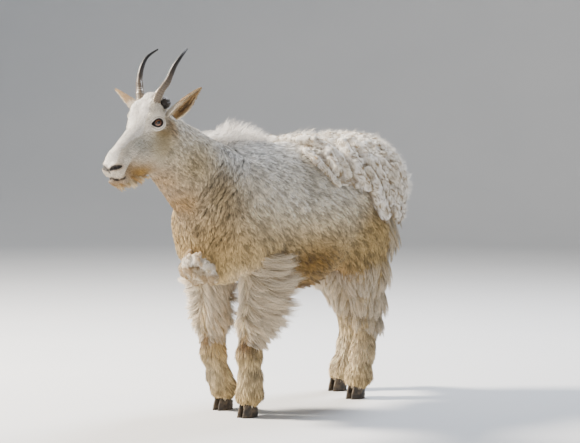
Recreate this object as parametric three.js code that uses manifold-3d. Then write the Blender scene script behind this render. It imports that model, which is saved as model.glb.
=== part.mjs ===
// Mountain goat in summer moult, a still life-size model on four hooves.
// Millimetres. X is the goat's left, Y its back and Z is up; the ground is z = 0.
// The body is one smooth field of rounded masses. Rings walked out on that field
// give every flesh piece, so that neighbours share one outline where they are parted.
import * as THREE from "three";
import { mergeVertices } from "three/addons/utils/BufferGeometryUtils.js";
import Module from "manifold-3d";

const wasm = await Module();
wasm.setup();

// Driving dimensions
const GAP = 0.3; // clearance between neighbouring nodes
const GROUND_SHIFT = 164; // moves the middle of the standing goat over the origin
const TRUNK_SIDES = 24;
const LEG_SIDES = 10;
const BLEND = 34; // how far neighbouring masses melt together
const EYE_RADIUS = 19;
const EYE_CENTRE = [50, -719, 984];
const HORN_BASE_RADIUS = 17.5;
const HORN_RIDGES = 7;
const EAR_LENGTH = 163;
const EAR_WIDTH = 50;
const CORONET_HEIGHT = 40; // top of the hoof wall at its middle
const HOOF_LENGTH = 70;
const HOOF_WIDTH = 58;
const KNEE_HEIGHT = 215; // where the upper fore leg ends
const HOCK_HEIGHT = 280; // where the upper hind leg ends
const FETLOCK_HEIGHT = 90; // top of each foot
const HAIR_TOP = 600; // no hair of a leg grows above this

// Landmarks of the four legs, top joint to toe; left and right stand differently
const LEGS = {
  left_fore: {
    side: 1,
    joints: [[112, -300, 570], [112, -285, 460], [94, -305, 320], [88, -316, 215], [88, -312, 130],
      [88, -314, 80], [90, -328, 38]],
    radii: [86, 66, 47, 41, 37, 40, 35],
    toe: [90, -333, 0],
  },
  right_fore: {
    side: -1,
    joints: [[-112, -295, 570], [-112, -295, 460], [-96, -302, 320], [-90, -302, 208],
      [-90, -272, 125], [-90, -250, 80], [-90, -252, 38]],
    radii: [86, 66, 47, 41, 37, 40, 35],
    toe: [-90, -256, 0],
  },
  left_hind: {
    side: 1,
    joints: [[104, 265, 590], [108, 270, 480], [100, 306, 370], [92, 320, 280], [90, 298, 170],
      [90, 278, 85], [90, 260, 38]],
    radii: [118, 92, 60, 46, 40, 42, 36],
    toe: [90, 252, 0],
  },
  right_hind: {
    side: -1,
    joints: [[-104, 310, 590], [-108, 335, 480], [-100, 412, 370], [-92, 455, 280], [-90, 444, 170],
      [-90, 412, 85], [-90, 386, 38]],
    radii: [118, 92, 58, 45, 37, 41, 36],
    toe: [-90, 374, 0],
  },
};

// Masses of the trunk and neck: a rod between two points with a radius at each end.
// flat below 1 makes it narrower across the body, and pair repeats it on the other side.
const TRUNK_MASSES = [
  { from: [0, -250, 688], to: [0, 20, 668], radii: [236, 250], flat: 0.86 }, // barrel
  { from: [0, 20, 668], to: [0, 210, 690], radii: [250, 212], flat: 0.88 }, // loin and flank
  { from: [0, 210, 700], to: [0, 330, 716], radii: [200, 158], flat: 1.0 }, // croup
  { from: [0, -330, 640], to: [0, -300, 660], radii: [192, 200], flat: 0.9 }, // breast
  { from: [0, -300, 855], to: [0, -170, 850], radii: [78, 78], flat: 0.8 }, // withers
  { from: [0, -404, 766], to: [0, -655, 925], radii: [161, 100], flat: 0.83 }, // neck
  { from: [84, -300, 760], to: [108, -320, 600], radii: [92, 92], flat: 1.0, pair: true }, // shoulder
  { from: [92, -392, 650], to: [112, -350, 570], radii: [80, 84], flat: 1.0, pair: true }, // point of shoulder
  { from: [0, -455, 520], to: [0, -380, 520], radii: [56, 76], flat: 1.1 }, // brisket
];

// The thigh masses follow each hind leg; the rump wool is a mat over the croup
const THIGH_MASSES = [
  { from: [84, 330, 720], to: [100, 300, 600], radii: [112, 122], flat: 0.95 },
  { from: [-84, 340, 720], to: [-100, 330, 600], radii: [112, 122], flat: 0.95 },
  { from: [112, 185, 560], to: [110, 230, 500], radii: [70, 80], flat: 1 },
  { from: [-112, 225, 560], to: [-110, 270, 500], radii: [70, 80], flat: 1 },
];
const MAT_MASSES = [
  { from: [0, 40, 745], to: [0, 320, 748], radii: [180, 190], flat: 1.12 },
  { from: [0, 320, 745], to: [0, 368, 660], radii: [165, 112], flat: 1.15 },
];

const HEAD_MASSES = [
  { from: [0, -655, 925], to: [0, -672, 925], radii: [100, 96], flat: 0.83 }, // neck joint
  { from: [0, -695, 972], to: [0, -714, 968], radii: [70, 59], flat: 0.92 }, // cranium
  { from: [34, -722, 992], to: [37, -737, 974], radii: [27, 23], flat: 1, pair: true }, // orbit
  { from: [22, -714, 1020], to: [20, -724, 992], radii: [39, 36], flat: 1, pair: true }, // forehead
  { from: [0, -692, 1048], to: [0, -640, 1004], radii: [34, 40], flat: 1.1 }, // tuft on the poll
  { from: [0, -738, 956], to: [0, -848, 877], radii: [46, 33], flat: 0.88 }, // nose bridge
  { from: [12, -700, 905], to: [12, -770, 868], radii: [62, 44], flat: 0.66, pair: true }, // cheek
  { from: [0, -700, 868], to: [0, -832, 814], radii: [44, 26], flat: 0.8 }, // jaw
  { from: [14, -842, 874], to: [17, -865, 843], radii: [28, 28], flat: 1, pair: true }, // upper lip
  { from: [0, -842, 806], to: [0, -860, 804], radii: [20, 17], flat: 1.5 }, // lower lip
];

// Section planes, each by where it meets the top line and the bottom line: [Y, Z, Y, Z]
const HEAD_SECTIONS = [
  [-640, 1022, -690, 824], [-664, 1036, -700, 822], [-694, 1046, -712, 818], [-722, 1036, -728, 812],
  [-745, 1006, -744, 806], [-765, 976, -760, 802], [-786, 950, -776, 798], [-806, 928, -793, 794],
  [-826, 908, -810, 790], [-844, 892, -826, 787], [-860, 878, -841, 786], [-872, 866, -853, 788],
  [-879, 855, -861, 796],
];
const NECK_SECTIONS = [
  [-340, 928, -525, 596], [-400, 928, -550, 640], [-460, 934, -582, 690], [-520, 952, -618, 740],
  [-580, 984, -656, 788], [-640, 1022, -690, 824],
];
const CHEST_SECTIONS = [
  [-130, 930, -150, 432], [-180, 934, -240, 440], [-225, 936, -330, 450], [-262, 934, -410, 462],
  [-300, 930, -476, 500], [-340, 928, -525, 596],
];
const BARREL_SECTIONS = [
  [170, 915, 160, 450], [100, 912, 92, 425], [25, 910, 15, 415], [-50, 918, -62, 418],
  [-130, 930, -150, 432],
];
const RUMP_SECTIONS = [
  [474, 745, 473, 650], [464, 800, 462, 600], [444, 850, 440, 560], [405, 895, 400, 520],
  [350, 925, 345, 500], [290, 930, 285, 490], [230, 925, 222, 470], [170, 915, 160, 450],
];

const UP = new THREE.Vector3(0, 0, 1);
const LEFT = new THREE.Vector3(1, 0, 0);
const BACK = new THREE.Vector3(0, 1, 0);

// Small helpers
const vec = (p) => new THREE.Vector3(...p);
const mix = (a, b, t) => a + (b - a) * t;
const mirrored = (p, side) => [p[0] * side, p[1], p[2]];
const randomOf = (seed) => () => {
  seed = (seed * 16807) % 2147483647;
  return seed / 2147483647;
};

// Fields of rounded masses
function withPairs(masses) {
  const all = [];
  for (const mass of masses) {
    const sides = mass.pair ? [1, -1] : [1];
    for (const side of sides) {
      all.push({
        from: vec(mass.from).multiply(new THREE.Vector3(side, 1, 1)),
        to: vec(mass.to).multiply(new THREE.Vector3(side, 1, 1)),
        radii: mass.radii,
        flat: mass.flat,
      });
    }
  }
  return all;
}

function massDistance(mass, p) {
  const span = mass.to.clone().sub(mass.from);
  const t = THREE.MathUtils.clamp(p.clone().sub(mass.from).dot(span) / span.lengthSq(), 0, 1);
  const offset = p.clone().sub(mass.from).addScaledVector(span, -t);
  offset.x /= mass.flat;
  return offset.length() - mix(mass.radii[0], mass.radii[1], t);
}

function smoothMin(a, b, k) {
  const h = Math.max(k - Math.abs(a - b), 0) / k;
  return Math.min(a, b) - h * h * k * 0.25;
}

function fieldOf(masses, blend) {
  const all = withPairs(masses);
  return (p) => all.reduce((d, mass) => smoothMin(d, massDistance(mass, p), blend), 1e4);
}

function legMasses(leg) {
  const masses = [];
  for (let i = 0; i + 1 < leg.joints.length; i += 1) {
    masses.push({
      from: leg.joints[i],
      to: leg.joints[i + 1],
      radii: [leg.radii[i], leg.radii[i + 1]],
      flat: 1,
    });
  }
  return masses;
}

const upperLegs = Object.values(LEGS).map((leg) => legMasses(leg)[0]);
const trunkField = fieldOf([...TRUNK_MASSES, ...THIGH_MASSES, ...MAT_MASSES, ...upperLegs], BLEND);
const headField = fieldOf(HEAD_MASSES, 16);

// Walks out from a point inside until the field turns positive
function surfaceFrom(field, start, direction, grow = 0, reach = 400) {
  let inside = 0;
  let outside = 4;
  while (outside < reach && field(start.clone().addScaledVector(direction, outside)) < 0) {
    inside = outside;
    outside += 4;
  }
  for (let i = 0; i < 12; i += 1) {
    const middle = (inside + outside) / 2;
    if (field(start.clone().addScaledVector(direction, middle)) < 0) inside = middle;
    else outside = middle;
  }
  return start.clone().addScaledVector(direction, inside + grow);
}

function normalAt(field, p) {
  const step = 2;
  const slope = (axis) => field(p.clone().addScaledVector(axis, step))
    - field(p.clone().addScaledVector(axis, -step));
  return new THREE.Vector3(slope(LEFT), slope(BACK), slope(UP)).normalize();
}

// Closed mesh over a row of rings, each with the same count of points
function loft(rings, startPoint, endPoint) {
  const sides = rings[0].length;
  const points = [...rings.flat(), startPoint, endPoint];
  const index = [];
  const start = points.length - 2;
  const end = points.length - 1;
  const last = (rings.length - 1) * sides;
  for (let side = 0; side < sides; side += 1) {
    const next = (side + 1) % sides;
    for (let ring = 0; ring < last; ring += sides) {
      index.push(ring + side, ring + next, ring + sides + next);
      index.push(ring + side, ring + sides + next, ring + sides + side);
    }
    index.push(start, next, side);
    index.push(end, last + side, last + next);
  }
  const geometry = new THREE.BufferGeometry().setFromPoints(points);
  geometry.setIndex(volumeOf(points, index) < 0 ? index.reverse() : index);
  return geometry;
}

function volumeOf(points, index) {
  let sum = 0;
  for (let i = 0; i < index.length; i += 3) {
    const [a, b, c] = [points[index[i]], points[index[i + 1]], points[index[i + 2]]];
    sum += a.dot(b.clone().cross(c));
  }
  return sum;
}

// Solids and booleans
function solidOf(geometry) {
  const bare = geometry.clone();
  bare.deleteAttribute("normal");
  bare.deleteAttribute("uv");
  const merged = mergeVertices(bare, 1e-4);
  return new wasm.Manifold(new wasm.Mesh({
    numProp: 3,
    vertProperties: new Float32Array(merged.attributes.position.array),
    triVerts: new Uint32Array(merged.index.array),
  }));
}

function geometryOf(solid) {
  const mesh = solid.getMesh();
  const geometry = new THREE.BufferGeometry();
  geometry.setAttribute("position", new THREE.BufferAttribute(mesh.vertProperties, 3));
  geometry.setIndex(new THREE.BufferAttribute(mesh.triVerts, 1));
  return geometry;
}

const joined = (solids) => solids.reduce((sum, solid) => sum.add(solid));

function largestOf(solid) {
  const pieces = solid.decompose();
  return pieces.reduce((best, piece) => (piece.volume() > best.volume() ? piece : best));
}

// Trunk, neck and head by sections
function stationOf(section) {
  const top = new THREE.Vector3(0, section[0], section[1]);
  const bottom = new THREE.Vector3(0, section[2], section[3]);
  const up = top.clone().sub(bottom).normalize();
  return { at: top.clone().lerp(bottom, 0.5), up };
}

function ringAt(field, station, sides, grow) {
  const ring = [];
  for (let side = 0; side < sides; side += 1) {
    const turn = (2 * Math.PI * side) / sides;
    const direction = LEFT.clone().multiplyScalar(Math.cos(turn));
    direction.addScaledVector(station.up, Math.sin(turn));
    ring.push(surfaceFrom(field, station.at, direction, grow));
  }
  return ring;
}

function partedStations(sections, freeStart, freeEnd) {
  const stations = sections.map(stationOf);
  const shift = (from, to) => {
    const across = from.up.clone().cross(LEFT);
    const inward = to.at.clone().sub(from.at).dot(across) > 0 ? 1 : -1;
    from.at.addScaledVector(across, (inward * GAP) / 2);
  };
  if (!freeStart) shift(stations[0], stations[1]);
  if (!freeEnd) shift(stations[stations.length - 1], stations[stations.length - 2]);
  return stations;
}

function bodyLength(field, sections, ends, grow = 0) {
  const stations = partedStations(sections, ends.start, ends.end);
  const rings = stations.map((station) => ringAt(field, station, TRUNK_SIDES, grow));
  const [first, last] = [stations[0].at, stations[stations.length - 1].at];
  const start = ends.start ? surfaceFrom(field, first, vec(ends.start), grow) : first;
  const end = ends.end ? surfaceFrom(field, last, vec(ends.end), grow) : last;
  return solidOf(loft(rings, start, end));
}

const RUMP_END = [0, 1, 0];
const NOSE_END = [0, -0.9, -0.436];
const wholeTrunk = bodyLength(
  trunkField,
  [...RUMP_SECTIONS.slice(0, -1), ...BARREL_SECTIONS.slice(0, -1), ...CHEST_SECTIONS],
  { start: RUMP_END },
  GAP,
);

// Legs by level rings; the coronet ring leans, higher in front
function legStation(leg, z, lean = 0) {
  const joints = leg.joints.map(vec);
  let i = 0;
  while (i + 2 < joints.length && joints[i + 1].z > z) i += 1;
  const t = THREE.MathUtils.clamp((joints[i].z - z) / (joints[i].z - joints[i + 1].z), 0, 1);
  const at = joints[i].clone().lerp(joints[i + 1], t);
  at.z = z;
  return { at, up: new THREE.Vector3(0, -Math.cos(lean), Math.sin(lean)) };
}

function legLength(leg, heights, leans) {
  const field = fieldOf(legMasses(leg), 20);
  const rings = heights.map((z, i) => ringAt(field, legStation(leg, z, leans?.[i]), LEG_SIDES, 0));
  const [top, bottom] = [heights[0], heights[heights.length - 1]];
  return solidOf(loft(rings, legStation(leg, top).at, legStation(leg, bottom).at));
}

const CORONET_LEAN = 0.28;
function upperLeg(leg, jointHeight) {
  const heights = [560, 520, 480, 440, 400, 350, 300, 255].filter((z) => z > jointHeight + 20);
  return legLength(leg, [...heights, jointHeight + GAP / 2]);
}

function cannon(leg, jointHeight) {
  const top = jointHeight - GAP / 2;
  const foot = FETLOCK_HEIGHT + GAP / 2;
  return legLength(leg, [top, top - 25, mix(top, foot, 0.5), foot + 25, foot]);
}

function pastern(leg) {
  const heights = [FETLOCK_HEIGHT - GAP / 2, 75, 58, CORONET_HEIGHT + GAP / 2];
  return legLength(leg, heights, [0, 0.1, 0.2, CORONET_LEAN]);
}

// Hooves: two claws side by side, each a leaning wall over a flat sole
function clawRing(leg, claw, level, grow) {
  const ring = [];
  const sides = 8;
  const t = level / CORONET_HEIGHT;
  const long = mix(HOOF_LENGTH, HOOF_LENGTH * 0.8, t) / 2 + grow;
  const wide = mix(HOOF_WIDTH, HOOF_WIDTH * 0.92, t) / 4 - 1 + grow;
  const middleX = leg.toe[0] + claw * (HOOF_WIDTH / 4 + 1);
  const middleY = leg.toe[1] + t * 8;
  for (let side = 0; side < sides; side += 1) {
    const turn = (2 * Math.PI * side) / sides;
    const narrow = 1 - 0.28 * Math.max(0, Math.cos(turn));
    const y = middleY - Math.cos(turn) * long;
    const x = middleX + Math.sin(turn) * wide * narrow - claw * 4 * Math.max(0, Math.cos(turn));
    const rise = t * Math.tan(CORONET_LEAN) * (leg.joints[6][1] - y);
    ring.push(new THREE.Vector3(x, y, level + rise));
  }
  return ring;
}

function claw(leg, which) {
  const top = CORONET_HEIGHT - GAP / 2;
  const rings = [0, 4, top].map((level) => clawRing(leg, which, level, level === 0 ? -2 : 0));
  const middle = (ring) => ring.reduce((sum, p) => sum.add(p), new THREE.Vector3()).divideScalar(ring.length);
  return solidOf(loft(rings, middle(rings[0]), middle(rings[rings.length - 1])));
}

function dewclaw(leg, which, grow = 0) {
  const rings = [];
  const root = vec(leg.joints[5]).add(new THREE.Vector3(which * 17, 22, -8));
  const lean = new THREE.Vector3(which * 0.2, 0.75, -0.62).normalize();
  const across = lean.clone().cross(LEFT).normalize();
  for (const [out, radius] of [[-grow, 9], [20, 8]]) {
    const ring = [];
    for (let side = 0; side < 6; side += 1) {
      const turn = (2 * Math.PI * side) / 6;
      const p = root.clone().addScaledVector(lean, out);
      p.addScaledVector(LEFT, Math.cos(turn) * (radius + grow));
      ring.push(p.addScaledVector(across, Math.sin(turn) * (radius * 0.75 + grow)));
    }
    rings.push(ring);
  }
  const tip = root.clone().addScaledVector(lean, 30 + grow);
  return solidOf(loft(rings, root.clone().addScaledVector(lean, -grow), tip));
}

// Horns: ridged low down, smooth and sharp above
const HORN_LINE = [[29, -710, 1020], [38, -705, 1066], [49, -695, 1092], [63, -683, 1118], [69, -673, 1144],
  [73, -659, 1170], [76, -638, 1195], [73, -617, 1211], [65, -592, 1226]];
function horn(side, grow = 0) {
  const line = new THREE.CatmullRomCurve3(HORN_LINE.map((p) => vec(mirrored(p, side))));
  const steps = 20;
  const rings = [];
  for (let step = 0; step < steps; step += 1) {
    const t = (step / steps) * 0.985;
    const ridge = t < 0.5 ? 0.9 * (step % 2 ? 1 : -1) * (1 - t) : 0;
    const radius = mix(HORN_BASE_RADIUS, 3.2, t ** 1.05) + ridge + grow;
    const at = line.getPointAt(t);
    const along = line.getTangentAt(t);
    const across = LEFT.clone().cross(along).normalize();
    const out = along.clone().cross(across).normalize();
    const ring = [];
    for (let i = 0; i < 8; i += 1) {
      const turn = (2 * Math.PI * i) / 8;
      const p = at.clone().addScaledVector(out, Math.cos(turn) * radius * 0.9);
      ring.push(p.addScaledVector(across, Math.sin(turn) * radius));
    }
    rings.push(ring);
  }
  const start = line.getPointAt(0);
  return solidOf(loft(rings, start, line.getPointAt(1)));
}

// Ears: a leaf rolled into a cup that opens out and down
const EAR_ROOT = [52, -657, 1014];
const EAR_AIM = [0.861, -0.043, 0.507];
const EAR_OPENING = [0.6, -0.25, -0.6];
const EAR_PROFILE = [[0, 0.78], [0.14, 0.94], [0.3, 1], [0.48, 0.9], [0.66, 0.66], [0.82, 0.4], [0.94, 0.17]];
function ear(side, grow = 0) {
  const aim = vec(mirrored(EAR_AIM, side)).normalize();
  const face = vec(mirrored(EAR_OPENING, side));
  face.addScaledVector(aim, -face.dot(aim)).normalize();
  const across = aim.clone().cross(face);
  const root = vec(mirrored(EAR_ROOT, side));
  const rings = [];
  for (const [t, breadth] of EAR_PROFILE) {
    const half = (EAR_WIDTH / 2) * breadth;
    const roll = mix(1.9, 0.9, t) + (2 * grow) / half; // how far the edges come forward
    const thick = mix(7, 3, t) + 2 * grow;
    const at = root.clone().addScaledVector(aim, t * EAR_LENGTH - (t === 0 ? grow : 0));
    const outer = [];
    const inner = [];
    const steps = 6;
    for (let i = 0; i <= steps; i += 1) {
      const turn = mix(-roll, roll, i / steps);
      const radius = half / Math.sin(Math.min(roll, Math.PI / 2));
      const place = (r) => at.clone().addScaledVector(across, Math.sin(turn) * r)
        .addScaledVector(face, -Math.cos(turn) * r + radius * 0.6);
      outer.push(place(radius + thick / 2));
      inner.push(place(radius - thick / 2));
    }
    rings.push([...outer, ...inner.reverse()]);
  }
  const start = rings[0][3].clone().lerp(rings[0][rings[0].length - 4], 0.5);
  return solidOf(loft(rings, start, root.clone().addScaledVector(aim, EAR_LENGTH)));
}

function ball(centre, radius, detail) {
  const geometry = new THREE.IcosahedronGeometry(radius, detail);
  geometry.translate(...centre);
  return solidOf(geometry);
}

// Hair and wool. A place holds a root on the skin, the way out and the lie of the coat there.
function placeOn(field, start, direction, lie) {
  const root = surfaceFrom(field, start, direction.clone().normalize());
  const out = normalAt(field, root);
  const along = lie.clone().addScaledVector(out, -lie.dot(out)).normalize();
  return { root, out, along };
}

const bezier = (a, b, c, t) => a.clone().lerp(b, t).lerp(b.clone().lerp(c, t), t);

// Rings across a bending path; each profile entry is [place on the path, size]
function sweep(path, across, profile, shape) {
  const rings = profile.map(([t, size]) => {
    const at = path(t);
    const heading = path(Math.min(t + 0.05, 1)).sub(path(Math.max(t - 0.05, 0))).normalize();
    const side = across.clone().addScaledVector(heading, -across.dot(heading)).normalize();
    const thick = heading.clone().cross(side);
    return shape.map(([u, v]) => at.clone().addScaledVector(side, u * size).addScaledVector(thick, v * size));
  });
  return solidOf(loft(rings, path(profile[0][0]), path(1)));
}

function hairPath(place, length, lift, bend, sink) {
  const heading = place.along.clone().multiplyScalar(Math.cos(lift)).addScaledVector(place.out, Math.sin(lift));
  const start = place.root.clone().addScaledVector(place.out, -sink);
  const middle = place.root.clone().addScaledVector(heading, length * 0.55);
  const end = place.root.clone().addScaledVector(heading, length * 0.8);
  end.addScaledVector(place.along, length * 0.2).addScaledVector(bend, length);
  return (t) => bezier(start, middle, end, t);
}

// A flat lock that tapers to a point
function lock(place, { length, width, lift = 0.4, bend = [0, 0, -0.2], sink = 18, thick = 0.16 }) {
  const across = place.along.clone().cross(place.out);
  const shape = [[0.5, -thick], [0, thick], [-0.5, -thick]];
  const profile = [[0, width * 0.8], [0.4, width], [0.75, width * 0.66]];
  return sweep(hairPath(place, length, lift, vec(bend), sink), across, profile, shape);
}

// A felted rope of shed wool with a blunt end
function rope(place, { length, radius, lift = 0.3, bend = [0, 0, -0.2] }) {
  const across = place.along.clone().cross(place.out);
  const shape = [];
  for (let i = 0; i < 5; i += 1) {
    shape.push([Math.cos((i * Math.PI) / 2.5), 0.85 * Math.sin((i * Math.PI) / 2.5)]);
  }
  const profile = [[0, radius * 0.85], [0.35, radius], [0.65, radius * 0.9], [0.92, radius]];
  return sweep(hairPath(place, length, lift, vec(bend), 20), across, profile, shape);
}

// A rounded clump of fleece, half sunk in the coat
function clump(place, radius, random) {
  const rings = [];
  const across = place.along.clone().cross(place.out);
  const stretch = 1 + 0.5 * random();
  for (const [up, wide] of [[-0.3, 0.95], [0.45, 0.8]]) {
    const ring = [];
    for (let i = 0; i < 6; i += 1) {
      const turn = (2 * Math.PI * i) / 6;
      const r = radius * wide * (0.88 + 0.24 * random());
      const p = place.root.clone().addScaledVector(place.out, up * radius * 0.8);
      p.addScaledVector(place.along, Math.cos(turn) * r * stretch);
      ring.push(p.addScaledVector(across, Math.sin(turn) * r));
    }
    rings.push(ring);
  }
  const bottom = place.root.clone().addScaledVector(place.out, -0.6 * radius);
  return solidOf(loft(rings, bottom, place.root.clone().addScaledVector(place.out, radius * 0.82)));
}

// Boxes that keep the hair of one node clear of the next
function boxOf(low, high) {
  const size = vec(high).sub(vec(low));
  const geometry = new THREE.BoxGeometry(size.x, size.y, size.z);
  geometry.translate(...vec(low).add(vec(high)).multiplyScalar(0.5));
  return solidOf(geometry);
}

const REACH = 230; // how far the slabs of the trunk run past the coat
function slabOf(sections, ends) {
  const stations = partedStations(sections, ends.start, ends.end);
  const edges = [stations[0], stations[stations.length - 1]];
  const middle = edges[0].at.clone().lerp(edges[1].at, 0.5);
  const rings = edges.map((station, i) => {
    const free = i === 0 ? ends.start : ends.end;
    const across = station.up.clone().cross(LEFT);
    if (station.at.clone().sub(middle).dot(across) < 0) across.negate();
    const at = station.at.clone().addScaledVector(across, free ? REACH : 0);
    return [[1, 1], [-1, 1], [-1, -1], [1, -1]].map(([u, v]) => at.clone()
      .addScaledVector(LEFT, u * 2 * REACH).addScaledVector(station.up, v * 2 * REACH));
  });
  const centreOf = (ring) => ring[0].clone().lerp(ring[2], 0.5);
  return solidOf(loft(rings, centreOf(rings[0]), centreOf(rings[1])));
}

// Crest: sparse tall hairs along the withers, highest in the middle
const CREST = { front: -445, peak: -370, back: -120, tallest: 130, count: 14 };
function crest() {
  const random = randomOf(11);
  const locks = [];
  for (let i = 0; i < CREST.count; i += 1) {
    const y = mix(CREST.front, CREST.back, (i + 0.5) / CREST.count);
    const fade = y < CREST.peak ? (CREST.peak - y) / 140 : (y - CREST.peak) / 330;
    const length = CREST.tallest * (1 - fade) * (0.75 + 0.35 * random());
    const aside = new THREE.Vector3((random() - 0.5) * 0.3, 0, 1);
    const place = placeOn(trunkField, new THREE.Vector3(0, y, 800), aside, BACK);
    locks.push(lock(place, { length, width: 15, lift: 1.35, bend: [0, 0.15, 0], thick: 0.3 }));
  }
  return locks;
}

// Shed winter wool: a mat of clumps with ropes along its lower edge and tufts standing on top
const WOOL = { front: -40, back: 440, middle: 700 };
function wool() {
  const random = randomOf(29);
  const forms = [];
  const spot = (y, turn, lie) => placeOn(
    trunkField,
    new THREE.Vector3(0, Math.min(y, 380), WOOL.middle),
    new THREE.Vector3(Math.sin(turn), Math.max(0, y - 380) / 90, Math.cos(turn)),
    lie,
  );
  for (let y = WOOL.front + 20; y <= WOOL.back; y += 104) {
    for (let turn = -1; turn <= 1.01; turn += 0.5) {
      const place = spot(y + 50 * (random() - 0.5), turn + 0.2 * (random() - 0.5), BACK);
      forms.push(clump(place, 40 + 13 * random(), random));
    }
  }
  for (const side of [1, -1]) {
    for (let y = WOOL.front; y < 400; y += 76) {
      const low = mix(0.75, 1.25, THREE.MathUtils.clamp(y / 300, 0, 1)) + 0.2 * (random() - 0.5);
      const place = spot(y, side * low, new THREE.Vector3(0, 0.6, -0.8));
      const length = 70 + 70 * random();
      forms.push(rope(place, { length, radius: 13 + 6 * random(), lift: 0.1, bend: [-0.28 * side, 0, -0.1] }));
    }
  }
  for (let i = 0; i < 14; i += 1) {
    const y = mix(20, 470, (i + random()) / 14);
    const place = spot(y, (random() - 0.5) * 1.1, BACK);
    forms.push(lock(place, { length: 50 + 26 * random(), width: 36, lift: 0.9, bend: [0, 0.1, 0.1] }));
  }
  return forms;
}

// Longer hair down the back of the haunches
function haunchHair() {
  const random = randomOf(43);
  const forms = [];
  for (let row = 0; row < 4; row += 1) {
    for (let i = 0; i < 3; i += 1) {
      const turn = mix(-1.2, 1.2, (i + random() * 0.6) / 2.5);
      const start = new THREE.Vector3(0, 330, 765 - row * 74 + 20 * random());
      const place = placeOn(trunkField, start, new THREE.Vector3(Math.sin(turn), Math.cos(turn), 0),
        new THREE.Vector3(0, 0.3, -1));
      forms.push(lock(place, { length: 66 + 24 * random(), width: 62, lift: 0.45 }));
    }
  }
  return forms;
}

// Rolled wool across the brisket with a knobbly upper edge, and the fringe of the belly
function brisketWool() {
  const random = randomOf(57);
  const forms = [];
  for (let i = 0; i < 6; i += 1) {
    const x = mix(-88, 52, i / 5);
    const start = new THREE.Vector3(x, -400, 500 + 12 * Math.cos(i));
    const place = placeOn(trunkField, start, new THREE.Vector3(0, -1, -0.15), LEFT);
    forms.push(clump(place, 30 + 6 * random(), random));
  }
  return forms;
}

function bellyHair() {
  const random = randomOf(61);
  const forms = [];
  for (let i = 0; i < 7; i += 1) {
    const start = new THREE.Vector3((random() - 0.5) * 90, mix(-70, 110, (i + 0.5) / 7), 560);
    const place = placeOn(trunkField, start, UP.clone().negate(), BACK);
    forms.push(lock(place, { length: 52, width: 40, lift: 0.35, bend: [0, 0, -0.1] }));
  }
  return forms;
}

// Leg hair in rows; turn 0 is the front of the leg, 90 degrees its outer side, 180 its back
function legRows(leg, rows, seed) {
  const random = randomOf(seed);
  const field = fieldOf(legMasses(leg), 20);
  const forms = [];
  for (const { z, turns, count, length, width, lie, lift, bend } of rows) {
    for (let i = 0; i < count; i += 1) {
      const degrees = mix(turns[0], turns[1], (i + 0.5 + 0.4 * (random() - 0.5)) / count);
      const turn = THREE.MathUtils.degToRad(degrees);
      const { at } = legStation(leg, z + 16 * (random() - 0.5));
      const way = new THREE.Vector3(leg.side * Math.sin(turn), -Math.cos(turn), 0);
      const place = placeOn(field, at, way, vec(lie));
      const long = length * (0.85 + 0.3 * random());
      forms.push(lock(place, { length: long, width, lift: lift ?? 0.4, bend: bend ?? [0, 0, -0.15] }));
    }
  }
  return forms;
}

// Pantaloons of the fore legs: swept back behind the forearm, hanging at its front
const FORE_ROWS = [];
for (let row = 0; row < 5; row += 1) {
  const z = 500 - row * 54;
  const drop = mix(0.35, 1.1, row / 4);
  FORE_ROWS.push({ z, turns: [80, 240], count: 4, length: [140, 165, 160, 130, 90][row], width: 42,
    lie: [0, 1, -drop], lift: 0.5, bend: [0, 0.15, 0] });
}
for (let row = 0; row < 2; row += 1) {
  FORE_ROWS.push({ z: 430 - row * 85, turns: [-70, 70], count: 3, length: 110, width: 48,
    lie: [0, 0.1, -1], lift: 0.42, bend: [0, 0.1, -0.2] });
}

// Hind legs: shaggy behind the thigh and hock, with a fringe down the front
const HIND_ROWS = [];
for (let row = 0; row < 4; row += 1) {
  HIND_ROWS.push({ z: 490 - row * 52, turns: [75, 260], count: 3, length: 100 - row * 6, width: 54,
    lie: [0, 0.45, -1], lift: 0.5 });
}
for (let row = 0; row < 2; row += 1) {
  HIND_ROWS.push({ z: 450 - row * 66, turns: [-40, 50], count: 2, length: 85, width: 42,
    lie: [0, -0.1, -1], lift: 0.35 });
}
const LOWER_ROWS = [
  { z: 190, turns: [90, 270], count: 3, length: 60, width: 38, lie: [0, 0.2, -1], lift: 0.35 },
  { z: 148, turns: [60, 300], count: 3, length: 50, width: 38, lie: [0, 0.2, -1], lift: 0.3 },
];

function beard() {
  const random = randomOf(71);
  const forms = [];
  for (let i = 0; i < 8; i += 1) {
    const y = mix(-850, -750, (i + random()) / 8);
    const start = new THREE.Vector3((random() - 0.5) * 22, y, 815);
    const place = placeOn(headField, start, UP.clone().negate(), BACK);
    const length = 30 + 22 * Math.sin((Math.PI * (y + 850)) / 100);
    forms.push(lock(place, { length, width: 20, lift: 1.0, bend: [0, 0.1, -0.2], sink: 10 }));
  }
  return forms;
}

// Head details
function egg(centre, radii, detail) {
  const geometry = new THREE.IcosahedronGeometry(1, detail);
  geometry.scale(...radii);
  geometry.translate(...centre);
  return solidOf(geometry);
}

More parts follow.
